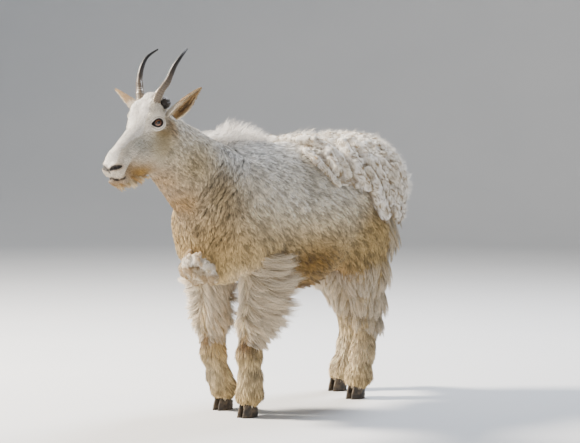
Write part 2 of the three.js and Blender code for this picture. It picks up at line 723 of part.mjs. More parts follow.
// Each lid is a bent roll over the eyeball, thickest at its middle
const LID_RISES = [11.5, -11];
function lids(centre, side) {
  const outward = new THREE.Vector3(0.84 * side, -0.52, 0.14).normalize();
  const forward = new THREE.Vector3(-0.45 * side, -0.75, -0.38);
  forward.addScaledVector(outward, -forward.dot(outward)).normalize();
  const up = outward.clone().cross(forward).multiplyScalar(side).normalize();
  const rings = (rise) => [-1, -0.55, 0, 0.55, 1].map((t) => {
    const high = rise * Math.sqrt(1 - 0.9 * t * t);
    const deep = Math.sqrt(Math.max(0, (EYE_RADIUS + 1) ** 2 - high ** 2 - (t * 17) ** 2));
    const at = vec(centre).addScaledVector(outward, deep).addScaledVector(up, high);
    at.addScaledVector(forward, t * 17);
    const fat = 3.2 + 2 * (1 - t * t);
    return [[1, 0], [0, 1], [-1, 0], [0, -1]].map(([u, v]) => at.clone()
      .addScaledVector(outward, u * fat * 0.8 - 1).addScaledVector(up, v * fat + Math.sign(rise) * 2));
  });
  const middle = (ring) => ring[0].clone().lerp(ring[2], 0.5);
  return LID_RISES.map(rings).map((row) => solidOf(loft(row, middle(row[0]), middle(row[4]))));
}

const MOUTH = { front: -930, corner: -822, height: 813, middle: -846, half: [30, 33, 30], open: 2.4 };
function mouthLine() {
  const { front, corner, height, middle, half, open } = MOUTH;
  const slab = boxOf([-60, front, height], [60, corner, height + open]);
  return slab.subtract(egg([0, middle, height], half, 1));
}

const NOSTRIL = { centre: [21, -885, 848], half: [16, 9, 6.5] };

// Nodes
const materials = {
  coat: new THREE.MeshStandardMaterial({ color: "#cdbfa6", roughness: 0.95, metalness: 0 }),
  horn: new THREE.MeshStandardMaterial({ color: "#2a2624", roughness: 0.5, metalness: 0 }),
  hoof: new THREE.MeshStandardMaterial({ color: "#26211e", roughness: 0.6, metalness: 0 }),
  eye: new THREE.MeshStandardMaterial({ color: "#3a2410", roughness: 0.1, metalness: 0 }),
  ear: new THREE.MeshStandardMaterial({ color: "#b79d80", roughness: 0.9, metalness: 0 }),
  gland: new THREE.MeshStandardMaterial({ color: "#242120", roughness: 0.8, metalness: 0 }),
};

const goat = new THREE.Group();
const standing = new THREE.Group();
standing.position.y = GROUND_SHIFT;
goat.add(standing);

function addNode(name, solid, material) {
  const mesh = new THREE.Mesh(geometryOf(largestOf(solid)), material);
  mesh.name = name;
  standing.add(mesh);
}

// Each scent gland wraps the back of a horn's foot
const GLAND = { centre: [33, -675, 1049], half: [28, 26, 22] };
const gland = (side, grow) => egg(
  mirrored(GLAND.centre, side),
  GLAND.half.map((radius) => radius + grow),
  1,
);

function addHead() {
  let head = bodyLength(headField, HEAD_SECTIONS, { end: NOSE_END });
  head = joined([head, ...beard()]);
  for (const [name, side] of [["left", 1], ["right", -1]]) {
    const centre = mirrored(EYE_CENTRE, side);
    head = joined([head, ...lids(centre, side)]).subtract(ball(centre, EYE_RADIUS + GAP, 2));
    head = head.subtract(egg(mirrored(NOSTRIL.centre, side), NOSTRIL.half, 1));
    head = head.subtract(horn(side, GAP)).subtract(ear(side, GAP));
    head = head.subtract(gland(side, GAP));
    addNode(`${name}_eye`, ball(centre, EYE_RADIUS, 2), materials.eye);
    addNode(`${name}_horn`, horn(side), materials.horn);
    addNode(`${name}_ear`, ear(side), materials.ear);
    addNode(`${name}_horn_gland`, gland(side, 0).subtract(horn(side, GAP)), materials.gland);
  }
  addNode("head", head.subtract(mouthLine()), materials.coat);
}

const HAUNCH_SPLIT = 497; // hair above this height grows from the rump, below it from the leg
const TAIL = { low: [-46, 470, 585], high: [46, 620, 830], masses: [
  { from: [0, 462, 790], to: [0, 500, 700], radii: [34, 30], flat: 1.1 },
  { from: [0, 500, 700], to: [0, 497, 625], radii: [30, 16], flat: 1.1 },
] };
function tail() {
  const field = fieldOf(TAIL.masses, 10);
  const stations = [812, 780, 740, 700, 660, 625].map((z) => ({
    at: new THREE.Vector3(0, z > 700 ? mix(500, 462, (z - 700) / 90) : 500, z),
    up: BACK,
  }));
  const rings = stations.map((station) => ringAt(field, station, 10, 0));
  const body = solidOf(loft(rings, stations[0].at, new THREE.Vector3(0, 497, 611)));
  const random = randomOf(83);
  const forms = [];
  for (let i = 0; i < 7; i += 1) {
    const turn = mix(-1.2, 1.2, random());
    const start = new THREE.Vector3(0, 492, mix(760, 660, i / 6));
    const place = placeOn(field, start, new THREE.Vector3(Math.sin(turn), Math.cos(turn), 0), UP.clone().negate());
    forms.push(lock(place, { length: 60, width: 24, lift: 0.3, sink: 12 }));
  }
  const room = boxOf(vec(TAIL.low).addScalar(GAP).toArray(), vec(TAIL.high).subScalar(GAP).toArray());
  return joined([body, ...forms]).intersect(room).subtract(wholeTrunk);
}

function addTrunk() {
  const lengths = [
    ["neck", NECK_SECTIONS, {}, crest()],
    ["chest", CHEST_SECTIONS, {}, [...crest(), ...brisketWool()]],
    ["barrel", BARREL_SECTIONS, {}, [...crest(), ...wool(), ...bellyHair()]],
    ["rump", RUMP_SECTIONS, { start: RUMP_END }, [...wool(), ...haunchHair()]],
  ];
  const tailRoom = boxOf(TAIL.low, TAIL.high);
  const legRoom = boxOf([-400, 120, 0], [400, 700, HAUNCH_SPLIT]);
  for (const [name, sections, ends, forms] of lengths) {
    const coat = joined(forms).intersect(slabOf(sections, ends)).subtract(tailRoom).subtract(legRoom);
    const length = bodyLength(trunkField, sections, ends).add(coat);
    addNode(name, length.subtract(ear(1, GAP)).subtract(ear(-1, GAP)), materials.coat);
  }
  addNode("tail", tail(), materials.coat);
}

function addLegs() {
  for (const [name, leg] of Object.entries(LEGS)) {
    const fore = name.endsWith("fore");
    const jointHeight = fore ? KNEE_HEIGHT : HOCK_HEIGHT;
    const own = (low, high) => boxOf(leg.side > 0 ? [2, -700, low] : [-400, -700, low],
      leg.side > 0 ? [400, 700, high] : [-2, 700, high]);
    const seed = 101 + Object.keys(LEGS).indexOf(name);
    const hair = joined(legRows(leg, fore ? FORE_ROWS : HIND_ROWS, seed));
    const hairTop = fore ? HAIR_TOP : HAUNCH_SPLIT - GAP;
    const upper = upperLeg(leg, jointHeight).add(hair.intersect(own(0, hairTop)));
    const lower = joined([cannon(leg, jointHeight), ...legRows(leg, LOWER_ROWS, seed)]);
    let foot = pastern(leg);
    for (const [place, which] of [["inner", -leg.side], ["outer", leg.side]]) {
      foot = foot.subtract(dewclaw(leg, which, GAP));
      addNode(`${name}_${place}_dewclaw`, dewclaw(leg, which), materials.hoof);
      addNode(`${name}_${place}_hoof`, claw(leg, which), materials.hoof);
    }
    const above = own(jointHeight + GAP / 2, HAIR_TOP);
    const between = own(FETLOCK_HEIGHT + GAP / 2, jointHeight - GAP / 2);
    addNode(`${name}_upper_leg`, upper.intersect(above).subtract(wholeTrunk), materials.coat);
    addNode(`${name}_lower_leg`, lower.intersect(between), materials.coat);
    addNode(`${name}_foot`, foot, materials.coat);
  }
}

addHead();
addTrunk();
addLegs();

export default goat;
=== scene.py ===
# Mountain goat in summer moult, a still life-size model dressed over its CAD frame.
# Landmarks are millimetres: X to the goat's left, Y to its back, Z up from the ground.
# Forms are worked out in arrays and turned into metres in the frame of the CAD at the end.
import math
import bpy
import numpy as np
import openvdb
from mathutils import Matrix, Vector, kdtree


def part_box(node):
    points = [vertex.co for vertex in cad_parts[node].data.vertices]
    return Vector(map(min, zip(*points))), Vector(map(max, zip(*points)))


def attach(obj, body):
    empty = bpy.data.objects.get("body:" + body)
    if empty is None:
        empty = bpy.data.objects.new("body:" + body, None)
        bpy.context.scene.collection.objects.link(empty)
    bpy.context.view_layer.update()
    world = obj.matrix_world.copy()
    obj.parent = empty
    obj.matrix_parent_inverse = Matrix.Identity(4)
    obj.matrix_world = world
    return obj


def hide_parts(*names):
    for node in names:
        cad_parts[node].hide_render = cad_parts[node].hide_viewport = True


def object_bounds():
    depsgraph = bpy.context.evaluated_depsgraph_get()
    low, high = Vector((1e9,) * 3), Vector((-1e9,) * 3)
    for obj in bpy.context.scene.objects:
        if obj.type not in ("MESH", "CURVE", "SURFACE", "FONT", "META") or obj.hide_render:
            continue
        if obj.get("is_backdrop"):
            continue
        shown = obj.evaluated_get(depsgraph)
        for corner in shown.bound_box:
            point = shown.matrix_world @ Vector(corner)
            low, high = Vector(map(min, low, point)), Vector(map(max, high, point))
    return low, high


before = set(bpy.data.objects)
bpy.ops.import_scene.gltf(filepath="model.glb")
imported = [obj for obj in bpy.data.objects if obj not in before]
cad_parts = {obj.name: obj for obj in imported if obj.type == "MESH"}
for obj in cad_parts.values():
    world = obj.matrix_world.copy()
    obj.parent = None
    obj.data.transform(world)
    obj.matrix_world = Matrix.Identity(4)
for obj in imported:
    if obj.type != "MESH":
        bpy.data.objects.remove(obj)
cad_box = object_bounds()

EYE = np.array([50.0, -719.0, 984.0])
EYE_RADIUS = 19.0
eye_low, eye_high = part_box("left_eye")
SHIFT = 500 * (eye_low[1] + eye_high[1]) - EYE[1]  # from the landmarks to the CAD frame
SHARE = 1.0  # share of the hairs grown while trying things out
rng = np.random.default_rng(20)


# Small helpers
def metres(points):
    return ((np.asarray(points, float) + (0, SHIFT, 0)) * 0.001).astype(np.float32)


def unit(v):
    return v / np.maximum(np.linalg.norm(v, axis=-1, keepdims=True), 1e-9)


def dot(a, b):
    return np.sum(a * b, axis=-1)


def smooth(low, high, value):
    t = np.clip((np.asarray(value, float) - low) / (high - low), 0, 1)
    return t * t * (3 - 2 * t)


def mix(a, b, t):
    return a + (b - a) * t


def mirrored(p):
    """The same places taken to the left side, for rules given on that side."""
    return np.stack([np.abs(p[..., 0]), p[..., 1], p[..., 2]], axis=-1)


def turns(count):
    """Even angles once round, in radians."""
    return np.linspace(0, 2 * math.pi, count, endpoint=False)


def linear(code):
    """An sRGB colour such as #c8b090 as three linear numbers."""
    parts = np.array([int(code[i:i + 2], 16) / 255 for i in (1, 3, 5)])
    return np.where(parts <= 0.04045, parts / 12.92, ((parts + 0.055) / 1.055) ** 2.4)


CELLS = 32  # the noise repeats after this many lumps
LATTICE = np.random.default_rng(3).random((CELLS, CELLS, CELLS)).astype(np.float32)


def noise(p, size, seed=0):
    """Smooth noise from 0 to 1 with lumps about size millimetres across."""
    q = np.asarray(p, np.float32) / size + 7.31 * (seed + 1)
    cell = np.floor(q)
    t = q - cell
    t = t * t * (3 - 2 * t)
    cell = cell.astype(np.int64)
    total = 0
    for step in np.ndindex(2, 2, 2):
        near = LATTICE[tuple((cell[..., i] + step[i]) % CELLS for i in range(3))]
        for i in range(3):
            near = near * (t[..., i] if step[i] else 1 - t[..., i])
        total = total + near
    return total


# The masses of the body: from, to, radii, flat across the body, and pair for both sides
TRUNK_MASSES = [
    ([0, -250, 688], [0, 20, 668], (236, 250), 0.86, False),  # barrel
    ([0, 20, 668], [0, 210, 690], (250, 212), 0.88, False),  # loin and flank
    ([0, 210, 700], [0, 330, 716], (200, 158), 1.0, False),  # croup
    ([0, -330, 640], [0, -300, 660], (192, 200), 0.9, False),  # breast
    ([0, -300, 855], [0, -170, 850], (78, 78), 0.8, False),  # withers
    ([0, -404, 766], [0, -655, 925], (161, 100), 0.83, False),  # neck
    ([84, -300, 760], [108, -320, 600], (92, 92), 1.0, True),  # shoulder
    ([92, -392, 650], [112, -350, 570], (80, 84), 1.0, True),  # point of the shoulder
    ([0, -455, 520], [0, -380, 520], (56, 76), 1.1, False),  # brisket
]
THIGH_MASSES = [
    ([84, 330, 720], [100, 300, 600], (112, 122), 0.95, False),
    ([-84, 340, 720], [-100, 330, 600], (112, 122), 0.95, False),
    ([112, 185, 560], [110, 230, 500], (70, 80), 1, False),
    ([-112, 225, 560], [-110, 270, 500], (70, 80), 1, False),
]
MAT_MASSES = [
    ([0, 40, 745], [0, 320, 748], (180, 190), 1.12, False),
    ([0, 320, 745], [0, 368, 660], (165, 112), 1.15, False),
]
TAIL_MASSES = [
    ([0, 462, 790], [0, 500, 700], (34, 30), 1.1, False),
    ([0, 500, 700], [0, 497, 625], (30, 16), 1.1, False),
]
HEAD_MASSES = [
    ([0, -655, 925], [0, -672, 925], (100, 96), 0.83, False),  # neck joint
    ([0, -695, 972], [0, -714, 968], (70, 59), 0.92, False),  # cranium
    ([34, -722, 992], [37, -737, 974], (27, 23), 1, True),  # orbit
    ([22, -714, 1020], [20, -724, 992], (39, 36), 1, True),  # forehead
    ([0, -692, 1048], [0, -640, 1004], (34, 40), 1.1, False),  # tuft on the poll
    ([0, -738, 956], [0, -848, 877], (46, 33), 0.88, False),  # nose bridge
    ([12, -700, 905], [12, -770, 868], (62, 44), 0.66, True),  # cheek
    ([0, -700, 868], [0, -832, 814], (44, 26), 0.8, False),  # jaw
    ([14, -842, 874], [17, -865, 843], (28, 28), 1, True),  # upper lip
    ([0, -842, 806], [0, -860, 804], (20, 17), 1.5, False),  # lower lip
]
LEGS = {
    "left_fore": {
        "side": 1, "radii": (86, 66, 47, 41, 37, 40, 35), "toe": [90, -333, 0],
        "joints": [[112, -300, 570], [112, -285, 460], [94, -305, 320], [88, -316, 215], [88, -312, 130],
                   [88, -314, 80], [90, -328, 38]],
    },
    "right_fore": {
        "side": -1, "radii": (86, 66, 47, 41, 37, 40, 35), "toe": [-90, -256, 0],
        "joints": [[-112, -295, 570], [-112, -295, 460], [-96, -302, 320], [-90, -302, 208],
                   [-90, -272, 125], [-90, -250, 80], [-90, -252, 38]],
    },
    "left_hind": {
        "side": 1, "radii": (118, 92, 60, 46, 40, 42, 36), "toe": [90, 252, 0],
        "joints": [[104, 265, 590], [108, 270, 480], [100, 306, 370], [92, 320, 280], [90, 298, 170],
                   [90, 278, 85], [90, 260, 38]],
    },
    "right_hind": {
        "side": -1, "radii": (118, 92, 58, 45, 37, 41, 36), "toe": [-90, 374, 0],
        "joints": [[-104, 310, 590], [-108, 335, 480], [-100, 412, 370], [-92, 455, 280],
                   [-90, 444, 170], [-90, 412, 85], [-90, 386, 38]],
    },
}
CORONET = 40.0  # height of the coronet over the ground, and the slope of its plane in radians
CORONET_LEAN = 0.28
BODY_BLEND, LEG_BLEND, HEAD_BLEND, TAIL_BLEND = 34, 24, 16, 12  # how far masses melt into each other
BODY_VOXEL, HEAD_VOXEL, WOOL_VOXEL, ROLL_VOXEL = 7.8, 2.4, 3.85, 2.8  # each surface under 200,000 triangles


def rods(masses):
    """Each mass as arrays, with its pair on the other side of the body."""
    out = []
    for start, end, radii, flat, pair in masses:
        for side in (1, -1) if pair else (1,):
            flip = np.array([side, 1, 1])
            out.append((start * flip, end * flip, radii, flat))
    return out


def leg_rods(leg):
    joints = np.array(leg["joints"], float)
    radii = leg["radii"]
    return [(joints[i], joints[i + 1], (radii[i], radii[i + 1]), 1) for i in range(len(joints) - 1)]


def rod_distance(rod, p):
    start, end, radii, flat = rod
    span = (end - start).astype(np.float32)
    t = np.clip((p - start.astype(np.float32)) @ span / (span @ span), 0, 1)
    offset = p - start.astype(np.float32) - t[..., None] * span
    offset[..., 0] /= flat
    return np.sqrt(dot(offset, offset)) - mix(radii[0], radii[1], t)


def smooth_min(a, b, k):
    """The smaller of two distances, rounded over a blend of k."""
    h = np.maximum(k - np.abs(a - b), 0) / k
    return np.minimum(a, b) - h * h * k * 0.25


def field_at(all_rods, p, blend):
    d = np.full(p.shape[:-1], 1e3, np.float32)
    for rod in all_rods:
        d = smooth_min(d, rod_distance(rod, p), blend)
    return d


def path_distance(points, p):
    """The distance to a line of points."""
    d = np.full(p.shape[:-1], 1e3, np.float32)
    points = np.array(points, float)
    for i in range(len(points) - 1):
        d = np.minimum(d, rod_distance((points[i], points[i + 1], (0, 0), 1), p))
    return d


# Distances in a grid, and the surfaces meshed from them
EMPTY = 60  # distance that a grid holds before anything is melted in


class Field:
    """A box of distances that forms are melted into and then meshed."""

    def __init__(self, low, high, voxel):
        self.low = np.array(low, np.float32)
        self.voxel = voxel
        count = np.ceil((np.array(high) - low) / voxel).astype(int) + 1
        self.values = np.full(count, EMPTY, np.float32)

    def change(self, low, high, rule):
        """Puts the rule's distances in the place of those between two corners."""
        first = np.floor((np.array(low) - self.low) / self.voxel).astype(int)
        last = np.ceil((np.array(high) - self.low) / self.voxel).astype(int) + 1
        first = np.clip(first, 0, self.values.shape)
        last = np.clip(last, 0, self.values.shape)
        if np.any(last <= first):
            return
        axes = [self.low[i] + self.voxel * np.arange(first[i], last[i], dtype=np.float32) for i in range(3)]
        p = np.stack(np.meshgrid(*axes, indexing="ij"), axis=-1)
        part = tuple(slice(first[i], last[i]) for i in range(3))
        self.values[part] = rule(self.values[part], p)

    def everywhere(self, rule):
        high = self.low + self.voxel * np.array(self.values.shape)
        self.change(self.low, high, rule)

    def melt(self, rod, blend, reach=50):
        start, end, radii, flat = rod
        wide = max(radii) * max(flat, 1) + reach
        low, high = np.minimum(start, end) - wide, np.maximum(start, end) + wide
        self.change(low, high, lambda d, p: smooth_min(d, rod_distance(rod, p), blend))

    def mesh(self):
        grid = openvdb.FloatGrid()
        grid.copyFromArray(self.values, tolerance=0)
        points, quads = grid.convertToQuads(isovalue=0.0)
        points = points.astype(float) * self.voxel + self.low
        quads = quads.astype(np.int64)
        a, b, c, d = (points[quads[:, i]] for i in range(4))
        volume = np.sum(dot(a, np.cross(b, c)) + dot(a, np.cross(c, d)))
        return points, quads if volume > 0 else quads[:, ::-1]


def triangles(quads):
    return np.concatenate([quads[:, [0, 1, 2]], quads[:, [0, 2, 3]]])


def vertex_normals(points, quads):
    a, b, c, d = (points[quads[:, i]] for i in range(4))
    normals = np.cross(c - a, d - b)
    total = np.zeros_like(points)
    for i in range(4):
        np.add.at(total, quads[:, i], normals)
    return unit(total)


# Colours of the coat by region. Each marking: centre on the left side, spread, colour, strength.
BASE_LOW = linear("#cdb890")
BASE_HIGH = linear("#e9e5dc")
MARKINGS = [
    ([0, -640, 820], [75, 60, 75], "#a07c46", 0.82),  # throat
    ([20, -570, 720], [95, 65, 110], "#ab8653", 0.78),  # front of the neck
    ([85, -580, 850], [60, 90, 80], "#b5a684", 0.75),  # side of the neck
    ([110, -470, 760], [80, 80, 90], "#bca77f", 0.75),  # base of the neck
    ([80, -470, 610], [110, 80, 95], "#cdb287", 0.65),  # chest
    ([70, -300, 870], [120, 130, 75], "#e6e9ea", 0.9),  # top of the shoulder
    ([0, -150, 940], [90, 220, 70], "#f2f3f4", 0.9),  # back
    ([190, -120, 780], [90, 180, 90], "#d9d6cd", 0.8),  # upper flank
    ([150, -60, 510], [120, 190, 80], "#7f6238", 0.88),  # lower flank, tan, darkened further as painted shade under the body
    ([0, 0, 430], [150, 240, 50], "#785a32", 0.85),  # belly, tan, darkened further as painted shade under the body
    ([60, 200, 470], [70, 90, 100], "#a68359", 0.75),  # groin
    ([200, 240, 620], [90, 90, 90], "#bfa97f", 0.8),  # thigh
    ([105, -350, 420], [90, 55, 130], "#f2e4cd", 0.85),  # front of the fore legs
    ([110, -230, 440], [90, 60, 110], "#dfcdb0", 0.8),  # behind the fore legs
    ([100, 330, 400], [90, 110, 110], "#e2d3b9", 0.8),  # hind leg
    ([95, -350, 255], [40, 36, 32], "#553614", 0.97),  # knee
    ([199, -366, 571], [10, 10, 12], "#80653f", 0.8),  # spot behind the elbow
    ([90, -300, 140], [60, 80, 80], "#e6dac2", 0.7),  # fore cannon
    ([90, 350, 160], [60, 140, 110], "#e9dfcd", 0.75),  # hind cannon
    ([90, -300, 50], [60, 120, 30], "#cdb68c", 0.6),  # fore feet
    ([90, 330, 50], [60, 150, 30], "#d2bf9a", 0.6),  # hind feet
    ([60, -735, 905], [26, 46, 50], "#aeaa9c", 0.8),  # cheek
    ([40, -785, 918], [22, 46, 32], "#9a9b96", 0.9),  # side of the nose, grey as painted shade
    ([46, -758, 966], [9, 9, 14], "#f6f2ec", 0.8),  # painted highlight in front of the eye
    ([22, -775, 830], [50, 85, 38], "#a5844e", 0.95),  # jaw
    ([0, -858, 793], [46, 40, 17], "#93703c", 0.92),  # chin
    ([60, -708, 955], [18, 28, 18], "#a98f5c", 0.75),  # below the eye
    ([64, -696, 925], [26, 44, 56], "#9c8c64", 0.8),  # back of the cheek
    ([40, -850, 866], [14, 30, 20], "#d8d5cd", 0.6),  # side of the muzzle
    ([70, -676, 972], [20, 22, 34], "#a8895a", 0.6),  # under the ear
    ([0, -665, 1040], [50, 30, 26], "#cfc2a8", 0.6),  # poll between the ears
]
MARKINGS = [(np.array(c), np.array(r), linear(shade), weight) for c, r, shade, weight in MARKINGS]

# Short furrows that run down the side of the neck to the breast, sunk into the skin and darkened with painted
# shade
FURROW_BAND = [[92, -410, 862], [100, -500, 740], [80, -505, 640]]
FURROW_SPACING = 17  # mm from one furrow to the next
PAINTED_CLUMP_SHADE = 0.62  # how far the painted shade and light between hair clumps on the flank and neck darken and lighten the coat


def painted_clump_shade_at(p):
    """Painted shade and light between hair clumps: short broken streaks along the lie of the flank and
    mottles on the neck, from 0 to 1.
    """
    along = 0.83 * p[..., 1] - 0.55 * p[..., 2]
    across = 0.55 * p[..., 1] + 0.83 * p[..., 2]
    flank = noise(np.stack([0.5 * p[..., 0], 0.35 * along, across], axis=-1), 6, 50)
    mottle = noise(p, 7, 51)
    return smooth(0.3, 0.64, mix(flank, mottle, smooth(-330, -430, p[..., 1])))


def furrow_band(q):
    """How near places on the left side lie to the middle of the furrows, from 0 to 1."""
    return np.exp(-(path_distance(FURROW_BAND, q) / 70) ** 2)


def furrow_at(p):
    """How deep in a furrow each place lies, from 0 to 1."""
    right = 0.766 * np.abs(p[..., 0]) + 0.643 * p[..., 1]
    across = (0.839 * right - 0.545 * p[..., 2]) / FURROW_SPACING + 1.5 * noise(p, 48, 4)
    wave = np.clip((np.sin(2 * math.pi * across) - 0.3) / 0.7, 0, 1)
    return wave * np.clip(1.6 * furrow_band(mirrored(p)), 0, 1) * smooth(0.28, 0.5, noise(p, 30, 5))


# Painted light: a near-white band from the horns down the top of the bridge to the lips
PAINTED_BRIDGE_LIGHT = [[8, -690, 1055], [6, -738, 1022], [4, -760, 985], [4, -790, 957], [2, -825, 930], [2, -860, 903],
         [4, -886, 868]]


def tint_at(p):
    """The coat's colour at places on the body, linear, with painted shade in the furrows, painted shade and
    light between clumps of hair and painted light along the bridge.
    """
    colour = mix(BASE_LOW, BASE_HIGH, smooth(520, 820, p[..., 2])[..., None])
    q = mirrored(p)
    for centre, spread, shade, weight in MARKINGS:
        away = (q - centre) / spread
        share = weight * np.exp(-dot(away, away))[..., None]
        colour = mix(colour, shade, share)
    on_face = p[..., 1] < -670
    wide = mix(22, 33, smooth(-830, -765, p[..., 1]))
    # painted light, near white, along the top of the bridge
    edge = path_distance(PAINTED_BRIDGE_LIGHT, q) - wide + 5 * (noise(p, 9, 40) - 0.5)
    bridge_light = smooth(3, -3, edge) * on_face
    colour = mix(colour, linear("#fbf9f6"), 0.95 * bridge_light[..., None])
    patch = noise(p, 60, 1) - 0.5 + 0.7 * (noise(p, 22, 2) - 0.5)
    colour = colour * (1 + 0.16 * patch[..., None])
    grey = colour.mean(axis=-1, keepdims=True)
    colour = np.maximum(grey + 1.3 * (colour - grey), 0.004)  # richer, as the hairs wash each other out
    tan = smooth(0.25, 0.6, 1 - colour[..., 2:] / colour[..., :1])
    colour = colour * (1 - 0.22 * tan)
    # painted shade and light between the clumps of hair
    colour = colour * (1 + PAINTED_CLUMP_SHADE * (painted_clump_shade_at(p) - 0.62) * (p[..., 1] > -700))[..., None]
    # painted shade down in the furrows
    return colour * (1 - 0.85 * furrow_at(p))[..., None]


# Where each place lies on the map that the coat's colours are baked to
def chart(p):
    x, y, z = p[..., 0], p[..., 1], p[..., 2]
    turn = np.arctan2(x, z - 700) / (2 * math.pi) + 0.5
    u, v = turn, (y + 700) / 1240 * 0.48
    head = y < -640
    centre = 905 - 0.35 * (y + 640 + 120)
    turn = np.arctan2(x, z - centre) / (2 * math.pi) + 0.5
    u = np.where(head, turn * 0.48, u)
    v = np.where(head, 0.52 + (y + 960) / 320 * 0.46, v)
    for i, leg in enumerate(LEGS.values()):
        joints = np.array(leg["joints"], float)[::-1]
        cx = np.interp(z, joints[:, 2], joints[:, 0])
        cy = np.interp(z, joints[:, 2], joints[:, 1])
        fore = joints[0, 1] < 0
        mine = (z < 520) & (x * leg["side"] > 0) & (np.hypot(x - cx, y - cy) < 130) & ((y < 0) == fore)
        turn = np.arctan2(x - cx, y - cy) / (2 * math.pi) + 0.5
        u = np.where(mine, 0.51 + 0.24 * (i % 2) + turn * 0.23, u)
        v = np.where(mine, 0.52 + 0.24 * (i // 2) + z / 520 * 0.22, v)
    return np.stack([u, v], axis=-1)


def lie_at(p):
    """The way the short coat lies: back along the body, down on the legs, back from the nose."""
    x, y, z = p[..., 0], p[..., 1], p[..., 2]
    side = np.sign(x)
    zero = np.zeros_like(y)
    one = np.ones_like(y)
    lie = np.stack([0.1 * side, one, mix(-0.75, -0.15, smooth(760, 930, z))], axis=-1)

    def lay(lie, way, share):
        return mix(lie, np.stack([w * one for w in way], axis=-1), share[..., None])

    lie = lay(lie, (0.05 * side, 0.55, -0.85), smooth(-260, -340, y) * smooth(900, 760, z))
    lie = lay(lie, (0.1 * side, 0.6, -0.7), smooth(-430, -520, y))
    lie = lay(lie, (0.15 * side, 0.1, -1), smooth(-430, -500, y) * smooth(760, 640, z))
    lie = lay(lie, (zero, 0.3, -1), smooth(150, 260, y) * smooth(760, 640, z))
    lie = lay(lie, (zero, 0.15, -1), smooth(560, 470, z) * smooth(40, 70, np.abs(x)) * (np.abs(y) > 130))
    above = (z - 845) - 0.714 * (y + 885)  # height over a line from the lips to the cheek
    head = smooth(-645, -670, y)
    lie = lay(lie, (0.25 * side, 0.85, -0.35), head)
    lie = lay(lie, (0.1 * side, 0.7, 0.6), head * smooth(0, 30, above))
    lie = lay(lie, (0, 0.7, -0.7), head * smooth(835, 805, z))
    in_band = np.clip(1.5 * furrow_band(mirrored(p)), 0, 1)
    lie = lay(lie, (0.1 * side, -0.5, -0.85), in_band)  # along the furrows
    swirl = np.stack([noise(p, 34, 6), noise(p, 34, 7), noise(p, 34, 8)], axis=-1) - 0.5
    return unit(lie + 0.85 * swirl)


def scatter(points, quads, normals, count, density=None):
    """Random places on a surface with their normals."""
    tris = triangles(quads)
    a, b, c = (points[tris[:, i]] for i in range(3))
    area = 0.5 * np.linalg.norm(np.cross(b - a, c - a), axis=1)
    if density is not None:
        area = area * density((a + b + c) / 3)
    pick = np.searchsorted(np.cumsum(area) / area.sum(), rng.random(int(count)))
    pick = np.clip(pick, 0, len(tris) - 1)
    u, v = rng.random(len(pick)), rng.random(len(pick))
    over = u + v > 1
    u, v = np.where(over, 1 - u, u)[:, None], np.where(over, 1 - v, v)[:, None]
    na, nb, nc = (normals[tris[pick, i]] for i in range(3))
    places = a[pick] + u * (b[pick] - a[pick]) + v * (c[pick] - a[pick])
    return places, unit(na + u * (nb - na) + v * (nc - na))


# Hairs: rows of points, pulled together in clumps, then given width
def grow(roots, normals, lie, length, lift, segments, droop=0.0, curl=0.0):
    """Paths of hairs. Lift is the angle off the skin, droop turns the ends down."""
    n = len(roots)
    lift = np.broadcast_to(lift, n)[:, None]
    length = np.broadcast_to(length, n)[:, None]
    along = unit(lie - dot(lie, normals)[:, None] * normals)
    across = np.cross(along, normals)
    phase = rng.random((n, 1)) * 2 * math.pi
    rows = [roots]
    for k in range(segments):
        t = (k + 0.5) / segments
        angle = lift * (1 - 0.75 * t)
        heading = along * np.cos(angle) + normals * np.sin(angle)
        heading = heading + curl * np.sin(phase + 5.5 * t) * across
        heading = heading + curl * 0.6 * np.cos(phase + 5 * t) * normals
        heading[:, 2] -= np.broadcast_to(droop, n) * t
        rows.append(rows[-1] + unit(heading) * length / segments)
    return np.stack(rows, axis=1), across


def nearest(places, seeds):
    tree = kdtree.KDTree(len(seeds))
    for i, seed in enumerate(seeds):
        tree.insert(seed, i)
    tree.balance()
    return np.array([tree.find(place)[1] for place in places], dtype=np.int64)


def pull(paths, guides, parent, strength):
    """Draws hairs towards their clump's path, most at the tips."""
    count = paths.shape[1]
    share = strength * np.linspace(0, 1, count) ** 1.3
    return mix(paths, guides[parent], share[None, :, None])


pieces = []


def make_object(name, points, faces, colours=None, uv=None, smooth_faces=True, extra=None):
    """A mesh object in metres. Faces is a list of arrays, each with one count of corners."""
    mesh = bpy.data.meshes.new(name)
    points = metres(points)
    corners = np.concatenate([np.asarray(f).ravel() for f in faces]).astype(np.int32)
    sizes = np.concatenate([np.full(len(f), np.asarray(f).shape[1]) for f in faces])
    starts = np.concatenate([[0], np.cumsum(sizes)[:-1]]).astype(np.int32)
    mesh.vertices.add(len(points))
    mesh.vertices.foreach_set("co", points.ravel())
    mesh.loops.add(len(corners))
    mesh.polygons.add(len(sizes))
    mesh.polygons.foreach_set("loop_start", starts)
    mesh.polygons.foreach_set("vertices", corners)
    mesh.update(calc_edges=True)
    mesh.polygons.foreach_set("use_smooth", np.full(len(sizes), smooth_faces))
    if colours is not None:
        layer = mesh.attributes.new("tint", "FLOAT_COLOR", "POINT")
        rgba = np.ones((len(points), 4), np.float32)
        rgba[:, :3] = np.clip(colours, 0, 1)
        layer.data.foreach_set("color", rgba.ravel())
    for key, values in (extra or {}).items():
        layer = mesh.attributes.new(key, "FLOAT_VECTOR", "POINT")
        layer.data.foreach_set("vector", np.asarray(values, np.float32).ravel())
    if uv is not None:
        layer = mesh.uv_layers.new(name="OFBake")
        layer.data.foreach_set("uv", np.asarray(uv, np.float32)[corners].ravel())
    obj = bpy.data.objects.new(name, mesh)
    bpy.context.scene.collection.objects.link(obj)
    pieces.append(obj)
    return obj


